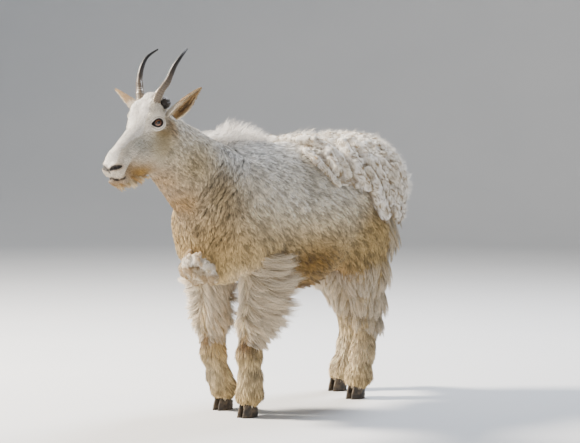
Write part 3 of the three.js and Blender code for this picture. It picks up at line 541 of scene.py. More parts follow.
def charted_uv(points, quads):
    """The map's places for each corner of a surface, kept whole across its seams."""
    at = chart(points)[quads]
    middle = chart(points[quads].mean(axis=1))[:, None, :]
    return np.clip(np.where(np.abs(at - middle) > 0.05, middle, at), 0, 1)


PATCH = 0.003  # width of a tuft's patch on the map
LIMIT = 190000  # triangles in one piece


def ribbons(name, paths, across, normals, width, shaded_root_tint, tip_tint, material, roll=0.5):
    """Tapered strips along the paths, cut into pieces under the limit."""
    n, rows, _ = paths.shape
    order = np.argsort(paths[:, 0, 1])
    per_hair = 2 * (rows - 1) - 1
    parts = max(1, math.ceil(n * per_hair / LIMIT))
    for number, chosen in enumerate(np.array_split(order, parts)):
        path, count = paths[chosen], len(chosen)
        turn = rng.normal(0, roll, (count, 1))
        side = across[chosen] * np.cos(turn) + normals[chosen] * np.sin(turn)
        wide = np.broadcast_to(width, n)[chosen][:, None, None]
        t = np.linspace(0, 1, rows)
        taper = (0.75 + 0.6 * t) * (1 - t ** 1.6)
        left = path[:, :-1] - side[:, None] * wide * taper[None, :-1, None] / 2
        right = path[:, :-1] + side[:, None] * wide * taper[None, :-1, None] / 2
        pairs = np.stack([left, right], axis=2).reshape(count, -1, 3)
        points = np.concatenate([pairs, path[:, -1:]], axis=1)
        each = points.shape[1]
        base = (np.arange(count) * each)[:, None]
        quads = []
        for k in range(rows - 2):
            quads.append(base + np.array([2 * k, 2 * k + 1, 2 * k + 3, 2 * k + 2]))
        tris = base + np.array([each - 3, each - 2, each - 1])
        level = np.concatenate([np.repeat(t[:-1], 2), [1]])
        low, high = shaded_root_tint[chosen][:, None], tip_tint[chosen][:, None]
        # each strip runs from its root colour, darkened by the callers as painted shade deep in the coat, to
        # its tip colour
        shade = mix(low, high, (level ** 0.8)[None, :, None])
        at = chart(path[:, 0])[:, None, :]
        sway = np.concatenate([np.tile([-1, 1], rows - 1), [0]])
        patch = np.stack([sway * 0.5, level - 0.5], axis=-1) * PATCH
        uv = np.clip(at + patch[None], 0, 1)
        title = name if parts == 1 else f"{name}_{number + 1}"
        obj = make_object(title, points.reshape(-1, 3), [*quads, tris], shade.reshape(-1, 3),
                          uv.reshape(-1, 2))
        obj.data.materials.append(material)


# Materials
def add(tree, kind, settings=None, **inputs):
    """Adds a node. Inputs are numbers, colours or sockets to link, by socket name."""
    node = tree.nodes.new(kind)
    for key, value in (settings or {}).items():
        setattr(node, key, value)
    for key, value in inputs.items():
        key = key.replace("_", " ")
        sockets = [s for s in node.inputs if s.name == key and s.enabled] or [node.inputs[int(key[1:])]]
        if isinstance(value, bpy.types.NodeSocket):
            tree.links.new(value, sockets[0])
        else:
            sockets[0].default_value = value
    return node


def rgba(code):
    return (*linear(code), 1)


def new_material(name, roughness, **sockets):
    material = bpy.data.materials.new(name)
    material.use_nodes = True
    tree = material.node_tree
    shader = tree.nodes["Principled BSDF"]
    shader.inputs["Roughness"].default_value = roughness
    for key, value in sockets.items():
        shader.inputs[key.replace("_", " ")].default_value = value
    place = add(tree, "ShaderNodeTexCoord").outputs["Object"]
    return material, tree, shader, place


def tinted(tree, shader, place, speckle, scale, dark):
    """Base colour from the tint of the coat, broken by darker speckles."""
    tint = add(tree, "ShaderNodeAttribute", {"attribute_name": "tint"}).outputs["Color"]
    grain = add(tree, "ShaderNodeTexNoise", Vector=place, Scale=scale, Detail=3.0, Roughness=0.6)
    ramp = add(tree, "ShaderNodeMapRange", i0=grain.outputs["Fac"], i1=0.35, i2=0.7, i3=0.0, i4=speckle)
    darker = add(tree, "ShaderNodeMix", {"data_type": "RGBA", "blend_type": "MULTIPLY"},
                 i0=ramp.outputs[0], i6=tint, i7=rgba(dark))
    tree.links.new(darker.outputs[2], shader.inputs["Base Color"])


def bumped(tree, shader, height, strength, distance):
    bump = add(tree, "ShaderNodeBump", Strength=strength, Distance=distance, Height=height)
    tree.links.new(bump.outputs["Normal"], shader.inputs["Normal"])


# Guard hair and summer coat, dry and soft
coat, tree, shader, place = new_material("goat_hair", 0.72, Sheen_Weight=0.1, Sheen_Roughness=0.5)
shader.inputs["Specular IOR Level"].default_value = 0.25
tinted(tree, shader, place, 0.28, 160.0, "#a08a66")

# Short undercoat close to the skin, with its fine lie as bump
under, tree, shader, place = new_material("undercoat", 0.9, Sheen_Weight=0.2)
tinted(tree, shader, place, 0.4, 220.0, "#94805e")
stretched = add(tree, "ShaderNodeMapping", Vector=place, Scale=(1.0, 0.35, 0.45))
fibre = add(tree, "ShaderNodeTexNoise", Vector=stretched.outputs[0], Scale=900.0, Detail=3.0)
bumped(tree, shader, fibre.outputs["Fac"], 0.7, 0.002)

# Matted winter wool, felted and dull
felt, tree, shader, place = new_material("winter_wool", 0.95, Sheen_Weight=0.35, Sheen_Roughness=0.6)
tinted(tree, shader, place, 0.22, 90.0, "#b49f7c")
warp = add(tree, "ShaderNodeTexNoise", Vector=place, Scale=240.0, Detail=6.0, Roughness=0.65,
           Distortion=1.6)
bumped(tree, shader, warp.outputs["Fac"], 0.8, 0.005)

# Horn sheath, grey brown and ridged low down, black and polished to the tip
horn_skin, tree, shader, place = new_material("horn_sheath", 0.42, Coat_Weight=0.15)
grain = add(tree, "ShaderNodeMapping", Vector=place, Scale=(1.0, 1.0, 0.12))
lines = add(tree, "ShaderNodeTexNoise", Vector=grain.outputs[0], Scale=900.0, Detail=4.0)
tint = add(tree, "ShaderNodeAttribute", {"attribute_name": "tint"}).outputs["Color"]
streaks = add(tree, "ShaderNodeMapRange", i0=lines.outputs["Fac"], i1=0.3, i2=0.7, i3=0.7, i4=1.25)
shade = add(tree, "ShaderNodeVectorMath", {"operation": "SCALE"}, i0=tint, Scale=streaks.outputs[0])
tree.links.new(shade.outputs[0], shader.inputs["Base Color"])
bumped(tree, shader, lines.outputs["Fac"], 0.35, 0.0012)

# Hoof wall, dark and worn with dusty edges
hoof_wall, tree, shader, place = new_material("hoof_wall", 0.6)
layers = add(tree, "ShaderNodeMapping", Vector=place, Scale=(0.2, 0.2, 1.0))
rings = add(tree, "ShaderNodeTexNoise", Vector=layers.outputs[0], Scale=420.0, Detail=3.0)
dust = add(tree, "ShaderNodeTexNoise", Vector=place, Scale=60.0, Detail=4.0)
worn = add(tree, "ShaderNodeMapRange", i0=dust.outputs["Fac"], i1=0.42, i2=0.68, i3=0.0, i4=0.7)
mixed = add(tree, "ShaderNodeMix", {"data_type": "RGBA"}, i0=worn.outputs[0], i6=rgba("#2a2520"),
            i7=rgba("#6b5c49"))
tree.links.new(mixed.outputs[2], shader.inputs["Base Color"])
bumped(tree, shader, rings.outputs["Fac"], 0.5, 0.0015)

# Wet eyeball with a brown iris and a level pupil
eyeball, tree, shader, place = new_material("wet_eye", 0.2, Coat_Weight=0.6, Coat_Roughness=0.03)
gaze = add(tree, "ShaderNodeAttribute", {"attribute_name": "gaze"}).outputs["Vector"]
split = add(tree, "ShaderNodeSeparateXYZ", Vector=gaze)
ring = add(tree, "ShaderNodeVectorMath", {"operation": "LENGTH"},
           i0=add(tree, "ShaderNodeVectorMath", {"operation": "MULTIPLY"}, i0=gaze, i1=(1, 1, 0)).outputs[0])
iris = add(tree, "ShaderNodeValToRGB", Fac=ring.outputs["Value"])
IRIS = [(0.0, "#3d2413"), (0.36, "#7a4822"), (0.5, "#5a3116"), (0.6, "#120b08"), (0.74, "#1d1512")]
while len(iris.color_ramp.elements) < len(IRIS):
    iris.color_ramp.elements.new(0.5)
for element, (stop, shade) in zip(iris.color_ramp.elements, IRIS):
    element.position = stop
    element.color = rgba(shade)
wide = add(tree, "ShaderNodeMath", {"operation": "MULTIPLY"}, i0=split.outputs["X"], i1=2.6)
high = add(tree, "ShaderNodeMath", {"operation": "MULTIPLY"}, i0=split.outputs["Y"], i1=3.8)
square = [add(tree, "ShaderNodeMath", {"operation": "POWER"}, i1=4.0,
              i0=add(tree, "ShaderNodeMath", {"operation": "ABSOLUTE"}, i0=n.outputs[0]).outputs[0])
          for n in (wide, high)]
slit = add(tree, "ShaderNodeMath", {"operation": "ADD"}, i0=square[0].outputs[0], i1=square[1].outputs[0])
open_ = add(tree, "ShaderNodeMapRange", i0=slit.outputs[0], i1=0.75, i2=1.3, i3=1.0, i4=0.0)
spokes = add(tree, "ShaderNodeTexNoise", Vector=place, Scale=900.0, Detail=3.0)
flecks = add(tree, "ShaderNodeMapRange", i0=spokes.outputs["Fac"], i1=0.3, i2=0.7, i3=0.75, i4=1.2)
varied = add(tree, "ShaderNodeVectorMath", {"operation": "SCALE"}, i0=iris.outputs["Color"],
             Scale=flecks.outputs[0])
pupil = add(tree, "ShaderNodeMix", {"data_type": "RGBA"}, i0=open_.outputs[0], i6=varied.outputs[0],
            i7=rgba("#0a0d0b"))
tree.links.new(pupil.outputs[2], shader.inputs["Base Color"])

# Black leathery skin of the scent glands, wrinkled
leather, tree, shader, place = new_material("gland_skin", 0.5)
folds = add(tree, "ShaderNodeTexNoise", Vector=place, Scale=260.0, Detail=5.0, Distortion=1.2)
tone = add(tree, "ShaderNodeMapRange", i0=folds.outputs["Fac"], i1=0.35, i2=0.7, i3=0.0, i4=1.0)
mixed = add(tree, "ShaderNodeMix", {"data_type": "RGBA"}, i0=tone.outputs[0], i6=rgba("#141211"),
            i7=rgba("#3a3330"))
tree.links.new(mixed.outputs[2], shader.inputs["Base Color"])
bumped(tree, shader, folds.outputs["Fac"], 0.9, 0.003)

# Bare and thinly haired skin of the ears
bare, tree, shader, place = new_material("thin_haired_skin", 0.62)
tinted(tree, shader, place, 0.35, 300.0, "#8f7a60")
pores = add(tree, "ShaderNodeTexNoise", Vector=place, Scale=900.0, Detail=4.0)
bumped(tree, shader, pores.outputs["Fac"], 0.4, 0.0008)

# Pale studio paper
paper, tree, shader, place = new_material("studio_paper", 0.9)
tone = add(tree, "ShaderNodeTexNoise", Vector=place, Scale=1.5, Detail=2.0)
mixed = add(tree, "ShaderNodeMix", {"data_type": "RGBA"}, i0=tone.outputs["Fac"], i6=rgba("#c9ccd0"),
            i7=rgba("#d0d2d5"))
tree.links.new(mixed.outputs[2], shader.inputs["Base Color"])

# The flesh: trunk, neck, tail and legs in one surface
TRUNK_RODS = rods(TRUNK_MASSES) + rods(THIGH_MASSES)
body = Field([-300, -730, 20], [300, 580, 980], BODY_VOXEL)
for rod in TRUNK_RODS:
    body.melt(rod, BODY_BLEND)
for leg in LEGS.values():
    for rod in leg_rods(leg):
        body.melt(rod, LEG_BLEND)
for rod in rods(TAIL_MASSES):
    body.melt(rod, TAIL_BLEND)


def flesh(d, p):
    """Sinks the skin below the solids by the depth of the coat, less at the feet and the head."""
    deep = mix(7, 11, smooth(-520, -400, p[..., 1]))
    depth = mix(4, deep, smooth(60, 420, p[..., 2]) * smooth(-670, -590, p[..., 1]))
    depth = depth + 3.5 * furrow_at(p) + 3 * (noise(p, 30, 9) - 0.5)
    return d + depth


body.everywhere(flesh)
for leg in LEGS.values():
    ankle = np.array(leg["joints"][6], float)
    above_hoof = lambda d, p: np.maximum(
        d, CORONET + 2 + math.tan(CORONET_LEAN) * (ankle[1] - p[..., 1]) - p[..., 2])
    body.change(ankle - (70, 70, 60), ankle + (70, 70, 30), above_hoof)
body_points, body_quads = body.mesh()
body_normals = vertex_normals(body_points, body_quads)

# The eye's own axes and the size of its opening
ALMOND = (13.8, 11.4)  # half width and height of the open eye
LID_REACH = 2.15  # the lids take the skin's place out to here, in sizes of the almond


def eye_axes(side):
    outward = unit(np.array([0.84 * side, -0.52, 0.14]))
    ahead = np.array([-0.45 * side, -0.75, -0.38])
    ahead = unit(ahead - dot(ahead, outward) * outward)
    return outward, ahead, np.cross(outward, ahead) * side


def almond_at(p):
    """How many times the size of the open eye a place is from its middle; large elsewhere."""
    size = np.full(len(p), 9.0)
    for side in (1, -1):
        outward, ahead, up = eye_axes(side)
        off = p - EYE * (side, 1, 1)
        own = np.sqrt((off @ ahead / ALMOND[0]) ** 2 + (off @ up / ALMOND[1]) ** 2)
        size = np.where(off @ outward > 4, np.minimum(size, own), size)
    return size


# The head, finer, with its folds pressed in or raised along short paths
FOLDS = [
    # path on the left side, half width, depth; a negative depth raises the skin
    ([[0, -877, 813], [12, -875, 808], [25, -864, 807], [28, -845, 812], [24, -814, 828]], 2.6, 5.0),
    ([[0, -889, 838], [0, -881, 814]], 2.8, 4.0),  # philtrum
    ([[24, -858, 899], [25, -817, 932], [28, -790, 952], [35, -766, 980]], 5, 2.2),  # edge of the bridge
    ([[35, -782, 896], [52, -740, 895]], 3.0, 2.6),  # crease of the cheek
    ([[35, -784, 900], [34, -795, 883], [29, -815, 862], [24, -818, 846]], 3.6, 3.0),  # behind the mouth
    ([[44, -852, 862], [44, -848, 852], [40, -844, 843]], 3.0, 2.6),  # behind the nostril
    ([[34, -862, 876], [37, -842, 872]], 9, -2.4),  # wing of the nose
    ([[13, -884, 820], [28, -873, 818], [33, -848, 824]], 5, -2.2),  # upper lip
    ([[10, -873, 799], [24, -863, 798], [29, -840, 803]], 6, -2.2),  # lower lip
    ([[0, -862, 790], [0, -846, 788]], 13, -2.5),  # chin
    ([[60, -735, 905], [58, -712, 890]], 20, -3.0),  # cheek muscle
    ([[8, -892, 851], [22, -891, 856], [38, -878, 862]], 4.0, -2.4),  # rim of the nostril
    ([[47, -747, 1008], [57, -724, 1017], [62, -698, 1007]], 8, -5.0),  # brow
    ([[47, -760, 969], [44, -752, 948]], 6, -1.6),  # below the corner of the eye
    ([[43, -768, 982], [41, -775, 968]], 5, 2.0),  # hollow in front of the eye
]
NOSTRIL = [([3, -890, 836], [18, -891, 843], (4.0, 7.2)), ([18, -891, 843], [33, -886, 847], (7.2, 7.2)),
           ([33, -886, 847], [43, -870, 851], (7.2, 3.2))]
MOUTH, PHILTRUM, CREASES = FOLDS[0][0], FOLDS[1][0], [path for path, _, _ in FOLDS[3:6]]
NOSTRIL_RODS = [(np.array(start, float), np.array(end, float), radii, 1) for start, end, radii in NOSTRIL]
HEAD_RODS = rods(HEAD_MASSES)
FACE_COAT = 3.0  # depth of the hair on the face


def folded(d, p):
    """Sinks the head below its solid and cuts in the folds, the nostrils and the eyes' sockets."""
    q = mirrored(p)
    near = (np.abs(d) < 24) & (p[..., 1] < -690)
    part, value = q[near], d[near] + FACE_COAT
    for path, wide, deep in FOLDS:
        value = value + deep * np.exp(-(path_distance(path, part) / wide) ** 2)
    for rod in NOSTRIL_RODS:
        value = -smooth_min(-value, rod_distance(rod, part), 3)
    value = np.maximum(value, EYE_RADIUS + 1.0 - np.linalg.norm(part - EYE, axis=-1))
    value = np.maximum(value, 12 * (LID_REACH - almond_at(part)))
    d = d + FACE_COAT + 9 * smooth(-690, -640, p[..., 1])
    d[near] = value
    return np.maximum(d, p[..., 1] + 622)


head = Field([-112, -910, 760], [112, -612, 1090], HEAD_VOXEL)
for rod in HEAD_RODS:
    head.melt(rod, HEAD_BLEND, 30)
for rod in rods(TRUNK_MASSES[5:6]):  # the neck
    head.melt(rod, LEG_BLEND, 30)
head.everywhere(folded)
head_points, head_quads = head.mesh()
head_normals = vertex_normals(head_points, head_quads)


def nostril_at(q):
    """The distance to the nostril of places on the left side."""
    return np.min([rod_distance(rod, q) for rod in NOSTRIL_RODS], axis=0)


def head_tint(p):
    """The face's colour, dark inside the nostrils, along the mouth and round the eyes, with painted shade
    along the creases of the cheek and behind the mouth and nostril.
    """
    colour = tint_at(p)
    q = mirrored(p)
    inside, mouth = nostril_at(q), path_distance(MOUTH, q)
    dark = smooth(2.6, 0.2, inside)
    dark = np.maximum(dark, 0.96 * smooth(5.6, 3.2, mouth))
    dark = np.maximum(dark, 0.8 * smooth(6.0, 3.6, path_distance(PHILTRUM, q)))
    pink = 0.5 * smooth(8, 4, inside) + 0.35 * smooth(7, 3, mouth)
    crease = np.min([path_distance(path, q) for path in CREASES], axis=0)
    # painted shade along the creases
    colour = mix(colour, linear("#857a68"), 0.55 * smooth(4.5, 1.5, crease)[:, None])
    colour = mix(colour, linear("#a08873"), np.clip(pink, 0, 1)[:, None])
    return mix(colour, linear("#15100f"), dark[:, None])


# Lids: a ring from the wet edge on the eyeball, over the lid and its fold, into the cheek
def skin_height(outward, places):
    """How far out from each place the face's skin lies, found by halving."""
    low, high = np.full(len(places), -30.0), np.full(len(places), 60.0)
    for _ in range(18):
        middle = (low + high) / 2
        inside = field_at(HEAD_RODS, places + middle[:, None] * outward, HEAD_BLEND) + FACE_COAT < 0
        low, high = np.where(inside, middle, low), np.where(inside, high, middle)
    return low


LID_ROWS = [
    # size of the almond, height over the eyeball, share of the cheek's height, colour
    (0.93, 0.2, 0.0, "#0d0908"), (0.98, 1.5, 0.0, "#0d0908"), (1.06, 2.4, 0.0, "#120e0c"),
    (1.16, 2.6, 0.0, "#17110f"), (1.24, 2.4, 0.05, "#3d342c"), (1.33, 2.6, 0.15, "#cfc8bc"),
    # the row at 1.68 is darkened as painted shade in the lid's fold, and the row at 1.95 lightened as painted
    # highlight on the brow
    (1.5, 2.4, 0.35, "#ece7df"), (1.68, 1.0, 0.5, "#a39a8b"), (1.95, 2.6, 0.72, "#f1ede6"),
    (2.25, 1.2, 0.92, "#ddd8ce"), (2.6, -1.5, 1.0, "#cbc3b5"),
]


def ring_quads(rows, count):
    """Quads between rows of rings with the same count of points."""
    near = np.arange(count)
    after = (near + 1) % count
    ring = np.stack([near, after, count + after, count + near], axis=1)
    return np.concatenate([k * count + ring for k in range(rows - 1)])


def lid_ring(side, count=72):
    centre = EYE * (side, 1, 1)
    outward, ahead, up = eye_axes(side)
    turn = turns(count)
    u = ALMOND[0] * np.cos(turn) + 2.6 * np.maximum(0, np.cos(turn)) ** 6
    up_down = np.sin(turn)
    v = np.where(up_down > 0, ALMOND[1] + 0.5, ALMOND[1] - 0.5) * np.abs(up_down) ** 0.95 * np.sign(up_down)
    v = v - 3.0 * np.maximum(0, np.cos(turn)) ** 4  # the front corner drops
    rows, shades = [], []
    for size, proud, share, shade in LID_ROWS:
        flat = centre + (size * u)[:, None] * ahead + (size * v)[:, None] * up
        reach = EYE_RADIUS + proud
        if size < 1.2:  # rows farther out keep the last height over the ball
            ball = np.sqrt(np.maximum(reach ** 2 - (size * u) ** 2 - (size * v) ** 2, 1.0))
        cheek = skin_height(outward, flat) + proud
        rows.append(flat + mix(ball, cheek, share)[:, None] * outward)
        shades.append(np.tile(linear(shade), (count, 1)))
    points = np.concatenate(rows)
    quads = ring_quads(len(rows), count)
    a, b, c = (points[quads[:, i]] for i in range(3))
    if np.sum(dot(np.cross(b - a, c - a), outward)) < 0:
        quads = quads[:, ::-1]
    blend = np.repeat(smooth(1.9, 2.6, [row[0] for row in LID_ROWS]), count)[:, None]
    return points, quads, mix(np.concatenate(shades), tint_at(points), blend)


left_lid, right_lid = lid_ring(1), lid_ring(-1)
parts = [(body_points, body_quads, tint_at(body_points)), (head_points, head_quads, head_tint(head_points)),
         left_lid, right_lid]
points, quads, colours, count = [], [], [], 0
for part_points, part_quads, part_colours in parts:
    points.append(part_points)
    quads.append(part_quads + count)
    colours.append(part_colours)
    count += len(part_points)
skin = make_object("skin", np.concatenate(points), [np.concatenate(quads)], np.concatenate(colours))
skin.data.materials.append(under)
flesh_nodes = ["head", "neck", "chest", "barrel", "rump", "tail"]
for name in LEGS:
    flesh_nodes += [f"{name}_upper_leg", f"{name}_lower_leg", f"{name}_foot"]
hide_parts(*flesh_nodes)


# Closed surfaces from rows of rings
def tube(rings):
    """Quads over a stack of rings with the same count of points, and a fan at each end."""
    rings = np.array(rings, float)
    rows, count, _ = rings.shape
    points = rings.reshape(-1, 3)
    near = np.arange(count)
    after = (near + 1) % count
    points = np.concatenate([points, rings[:1].mean(axis=1), rings[-1:].mean(axis=1)])
    start, end, last = rows * count, rows * count + 1, (rows - 1) * count
    faces = [ring_quads(rows, count), np.stack([np.full(count, start), after, near], axis=1),
             np.stack([np.full(count, end), last + near, last + after], axis=1)]
    total = sum(np.sum(dot(points[f[:, 0]], np.cross(points[f[:, 1]], points[f[:, 2]]))) for f in faces)
    if total < 0:
        faces = [f[:, ::-1] for f in faces]
    return points, faces


def spline(points, count):
    """Even places and headings along a smooth line through the points."""
    points = np.array(points, float)
    padded = np.concatenate([[2 * points[0] - points[1]], points, [2 * points[-1] - points[-2]]])
    dense = []
    for i in range(1, len(padded) - 2):
        a, b, c, d = padded[i - 1:i + 3]
        for t in np.linspace(0, 1, 24, endpoint=False):
            dense.append(0.5 * (2 * b + (c - a) * t + (2 * a - 5 * b + 4 * c - d) * t * t
                                + (3 * b - a - 3 * c + d) * t ** 3))
    dense = np.array([*dense, points[-1]])
    steps = np.concatenate([[0], np.cumsum(np.linalg.norm(np.diff(dense, axis=0), axis=1))])
    at = np.linspace(0, steps[-1], count)
    line = np.stack([np.interp(at, steps, dense[:, i]) for i in range(3)], axis=1)
    return line, unit(np.gradient(line, axis=0))


# Horns with growth ridges over their lower half
HORN_LINE = [[29, -710, 1020], [38, -705, 1066], [49, -695, 1092], [63, -683, 1118], [69, -673, 1144],
             [73, -659, 1170], [76, -638, 1195], [73, -617, 1211], [65, -592, 1226]]
HORN_COLOURS = [(0.0, "#91846f"), (0.2, "#7d7163"), (0.42, "#574d43"), (0.56, "#35302d"), (0.72, "#201f22"),
                (1.0, "#17181c")]


def horn(side):
    rows, count = 330, 28
    line, heading = spline(np.array(HORN_LINE) * (side, 1, 1), rows)
    t = np.linspace(0, 1, rows)
    turn = turns(count)
    wave = np.sin(2 * math.pi * (38 * t ** 0.92 + 0.5 * np.sin(11 * t) + 0.3 * np.sin(37 * t)))
    swell = np.sin(2 * math.pi * (8 * t + 0.3 * np.sin(7 * t)))
    ridge = (0.55 * wave * (1 + 0.5 * np.sin(23 * t)) + 0.5 * swell) * smooth(0.66, 0.36, t)
    radius = mix(17.5, 3.0, np.minimum(t, 0.985) ** 1.05) - 0.4 + ridge
    radius = np.where(t > 0.985, radius * np.sqrt(np.maximum(1 - ((t - 0.985) / 0.015) ** 2, 0.02)), radius)
    rings = []
    for k in range(rows):
        across = unit(np.cross([1, 0, 0], heading[k]))
        out = np.cross(heading[k], across)
        uneven = 1 + 0.02 * np.sin(3 * turn + 5 * t[k]) + 0.012 * np.sin(7 * turn + 2)
        rings.append(line[k] + (np.cos(turn) * radius[k] * 0.9 * uneven)[:, None] * out
                     + (np.sin(turn) * radius[k] * uneven)[:, None] * across)
    points, faces = tube(rings)
    level = np.concatenate([np.repeat(t, count), [0, 1]])
    stops = [s for s, _ in HORN_COLOURS]
    shades = np.array([linear(c) for _, c in HORN_COLOURS])
    colour = np.stack([np.interp(level, stops, shades[:, i]) for i in range(3)], axis=1)
    # painted shade in the grooves between the growth ridges
    groove = np.concatenate([np.repeat(np.clip(-wave, 0, 1) * smooth(0.66, 0.36, t), count), [0, 0]])
    return points, faces, colour * (1 - 0.42 * groove[:, None])


for name, side in (("left", 1), ("right", -1)):
    points, faces, colour = horn(side)
    piece = make_object(f"{name}_horn_sheath", points, faces, colour)
    piece.data.materials.append(horn_skin)
    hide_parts(f"{name}_horn")

# Eyes: the ball with a slight cornea, and the gaze as a map for the iris
for name, side in (("left", 1), ("right", -1)):
    outward, ahead, up = eye_axes(side)
    rings = []
    for polar in np.linspace(0.02, math.pi - 0.02, 64):
        turn = turns(72)
        radius = EYE_RADIUS - 0.4 + 0.9 * math.exp(-(polar / 0.42) ** 2)
        rings.append(radius * (math.cos(polar) * outward + math.sin(polar) * (
            np.cos(turn)[:, None] * ahead + np.sin(turn)[:, None] * up)))
    points, faces = tube(rings)
    local = np.stack([points @ ahead, points @ up, points @ outward], axis=1) / EYE_RADIUS
    behind = local[:, 2] < 0
    local[behind, :2] = unit(local[behind, :2] + 1e-6)
    piece = make_object(f"{name}_eyeball", points + EYE * (side, 1, 1), faces, extra={"gaze": local})
    piece.data.materials.append(eyeball)
    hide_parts(f"{name}_eye")

# Ears: a leaf rolled into a cup
EAR_ROOT = np.array([52.0, -657.0, 1014.0])
EAR_AIM = np.array([0.861, -0.043, 0.507])
EAR_SIZE = 163.0
EAR_OPENING = np.array([0.6, -0.25, -0.6])
EAR_PROFILE = [(0, 0.78), (0.14, 0.94), (0.3, 1), (0.48, 0.9), (0.66, 0.66), (0.82, 0.4), (0.94, 0.17),
               (1, 0.03)]


def ear_shade(place, t):
    """Colour inside the ear: tan, broken dark streaks, a pale rim. Place is -1 to 1 across."""
    at = np.stack([14 * place, 26 * t, 0 * t], axis=-1)
    streak = smooth(0.45, 0.72, noise(at * (1, 0.35, 1), 2.6, 41) + 0.25 * (noise(at, 5, 42) - 0.5))
    streak = streak * smooth(0.02, 0.12, t) * smooth(1.0, 0.75, np.abs(place)) * smooth(0.98, 0.8, t)
    shade = mix(linear("#a98a60"), linear("#3d2b1c"), (0.9 * streak)[..., None])
    return mix(shade, linear("#cdbb98"), smooth(0.8, 0.98, np.abs(place))[..., None])


def ear(side):
    aim = unit(EAR_AIM * (side, 1, 1))
    face = EAR_OPENING * (side, 1, 1)
    face = unit(face - dot(face, aim) * aim)
    across = np.cross(aim, face)
    root = EAR_ROOT * (side, 1, 1)
    rows, steps = 60, 26
    outer_rows, inner_rows, levels = [], [], np.linspace(0, 0.985, rows)
    for t in levels:
        breadth = np.interp(t, [s for s, _ in EAR_PROFILE], [b for _, b in EAR_PROFILE])
        half = 25 * breadth * (1 + 0.02 * math.sin(40 * t))
        roll = mix(1.9, 0.9, t)
        thick = mix(5.5, 2.2, t) * min(1, (1.02 - t) * 9)
        at = root + aim * t * EAR_SIZE + across * 1.5 * math.sin(5 * t)
        turn = np.linspace(-roll, roll, steps)
        radius = half / math.sin(min(roll, math.pi / 2))
        ring = lambda r: (at + (np.sin(turn) * r)[:, None] * across
                          + (0.6 * radius - np.cos(turn) * r)[:, None] * face)
        outer_rows.append(ring(radius + thick / 2))
        inner_rows.append(ring(max(radius - thick / 2, 0.4))[::-1])
    rings = [np.concatenate([o, i]) for o, i in zip(outer_rows, inner_rows)]
    points, faces = tube(rings)
    place = np.concatenate([np.linspace(-1, 1, steps), np.linspace(1, -1, steps)])
    inner = np.concatenate([np.zeros(steps), np.ones(steps)])
    t = np.concatenate([np.repeat(levels, 2 * steps), [0, 1]])
    place = np.concatenate([np.tile(place, rows), [0, 0]])
    inner = np.concatenate([np.tile(inner, rows), [0, 0]])
    outside = mix(linear("#d9d3c6"), linear("#94795a"), smooth(0.2, 0.55, t)[:, None])
    within = ear_shade(place, t)
    colour = mix(outside, within, inner[:, None])
    inner_rows = np.array([r[::-1] for r in inner_rows])
    return points, faces, colour, np.array(outer_rows), inner_rows, (root, aim, face)


ears = {}
for name, side in (("left", 1), ("right", -1)):
    points, faces, colour, outer_rows, inner_rows, axes = ear(side)
    ears[name] = (outer_rows, inner_rows, axes)
    piece = make_object(f"{name}_ear_leaf", points, faces, colour)
    piece.data.materials.append(bare)
    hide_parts(f"{name}_ear")

# Scent glands: wrinkled dark crescents that hug the back of each horn's foot
GLAND = np.array([33.0, -675.0, 1049.0])
GLAND_HALF = np.array([27.4, 25.4, 21.4])
for name, side in (("left", 1), ("right", -1)):
    rings = []
    turn = turns(48)
    for polar in np.linspace(0.05, math.pi - 0.05, 36):
        flat, high = math.sin(polar), np.full(48, math.cos(polar))
        way = np.stack([flat * np.cos(turn), flat * np.sin(turn), high], axis=1)
        lumps = 0.97 + 0.04 * np.sin(9 * high + 3 * way[:, 0]) + 0.03 * np.sin(17 * way[:, 0] + 5 * way[:, 1])
        rings.append(way * lumps[:, None] * GLAND_HALF + GLAND * (side, 1, 1))
    points, faces = tube(rings)
    line, _ = spline(np.array(HORN_LINE) * (side, 1, 1), 200)
    gap = points[:, None] - line[None]
    close = np.argmin(np.linalg.norm(gap, axis=2), axis=1)
    away = points - line[close]
    reach = np.linalg.norm(away, axis=1)
    points = line[close] + away / reach[:, None] * np.maximum(reach, 18.6)[:, None]
    piece = make_object(f"{name}_scent_gland", points, faces)
    piece.data.materials.append(leather)
    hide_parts(f"{name}_horn_gland")


# Hooves: two claws and two dewclaws on each foot
HOOF_LENGTH = 70.0
HOOF_WIDTH = 58.0


def claw(leg, which):
    rings = []
    for level in [0, 0, 0.6, 2, 4, 8, 12, 16, 20, 24, 28, 32, 36, 39]:
        first = not rings
        t = level / CORONET
        grow_ = -4 if first else -1.6 * math.exp(-level / 1.2) + 0.35 * math.sin(level * 1.3)
        long = mix(HOOF_LENGTH, HOOF_LENGTH * 0.8, t) / 2 + grow_
        wide = mix(HOOF_WIDTH, HOOF_WIDTH * 0.92, t) / 4 - 1 + grow_
        turn = turns(44)
        forward = np.maximum(0, np.cos(turn))
        round_x = np.sign(np.sin(turn)) * np.abs(np.sin(turn)) ** 0.85
        y = leg["toe"][1] + t * 8 - np.cos(turn) * long
        x = leg["toe"][0] + which * (HOOF_WIDTH / 4 + 1) + round_x * wide * (1 - 0.28 * forward)
        x = x - which * 4 * forward
        rise = t * math.tan(CORONET_LEAN) * (leg["joints"][6][1] - y)
        z = level + rise
        rings.append(np.stack([x, y, z], axis=1))
    return tube(rings)


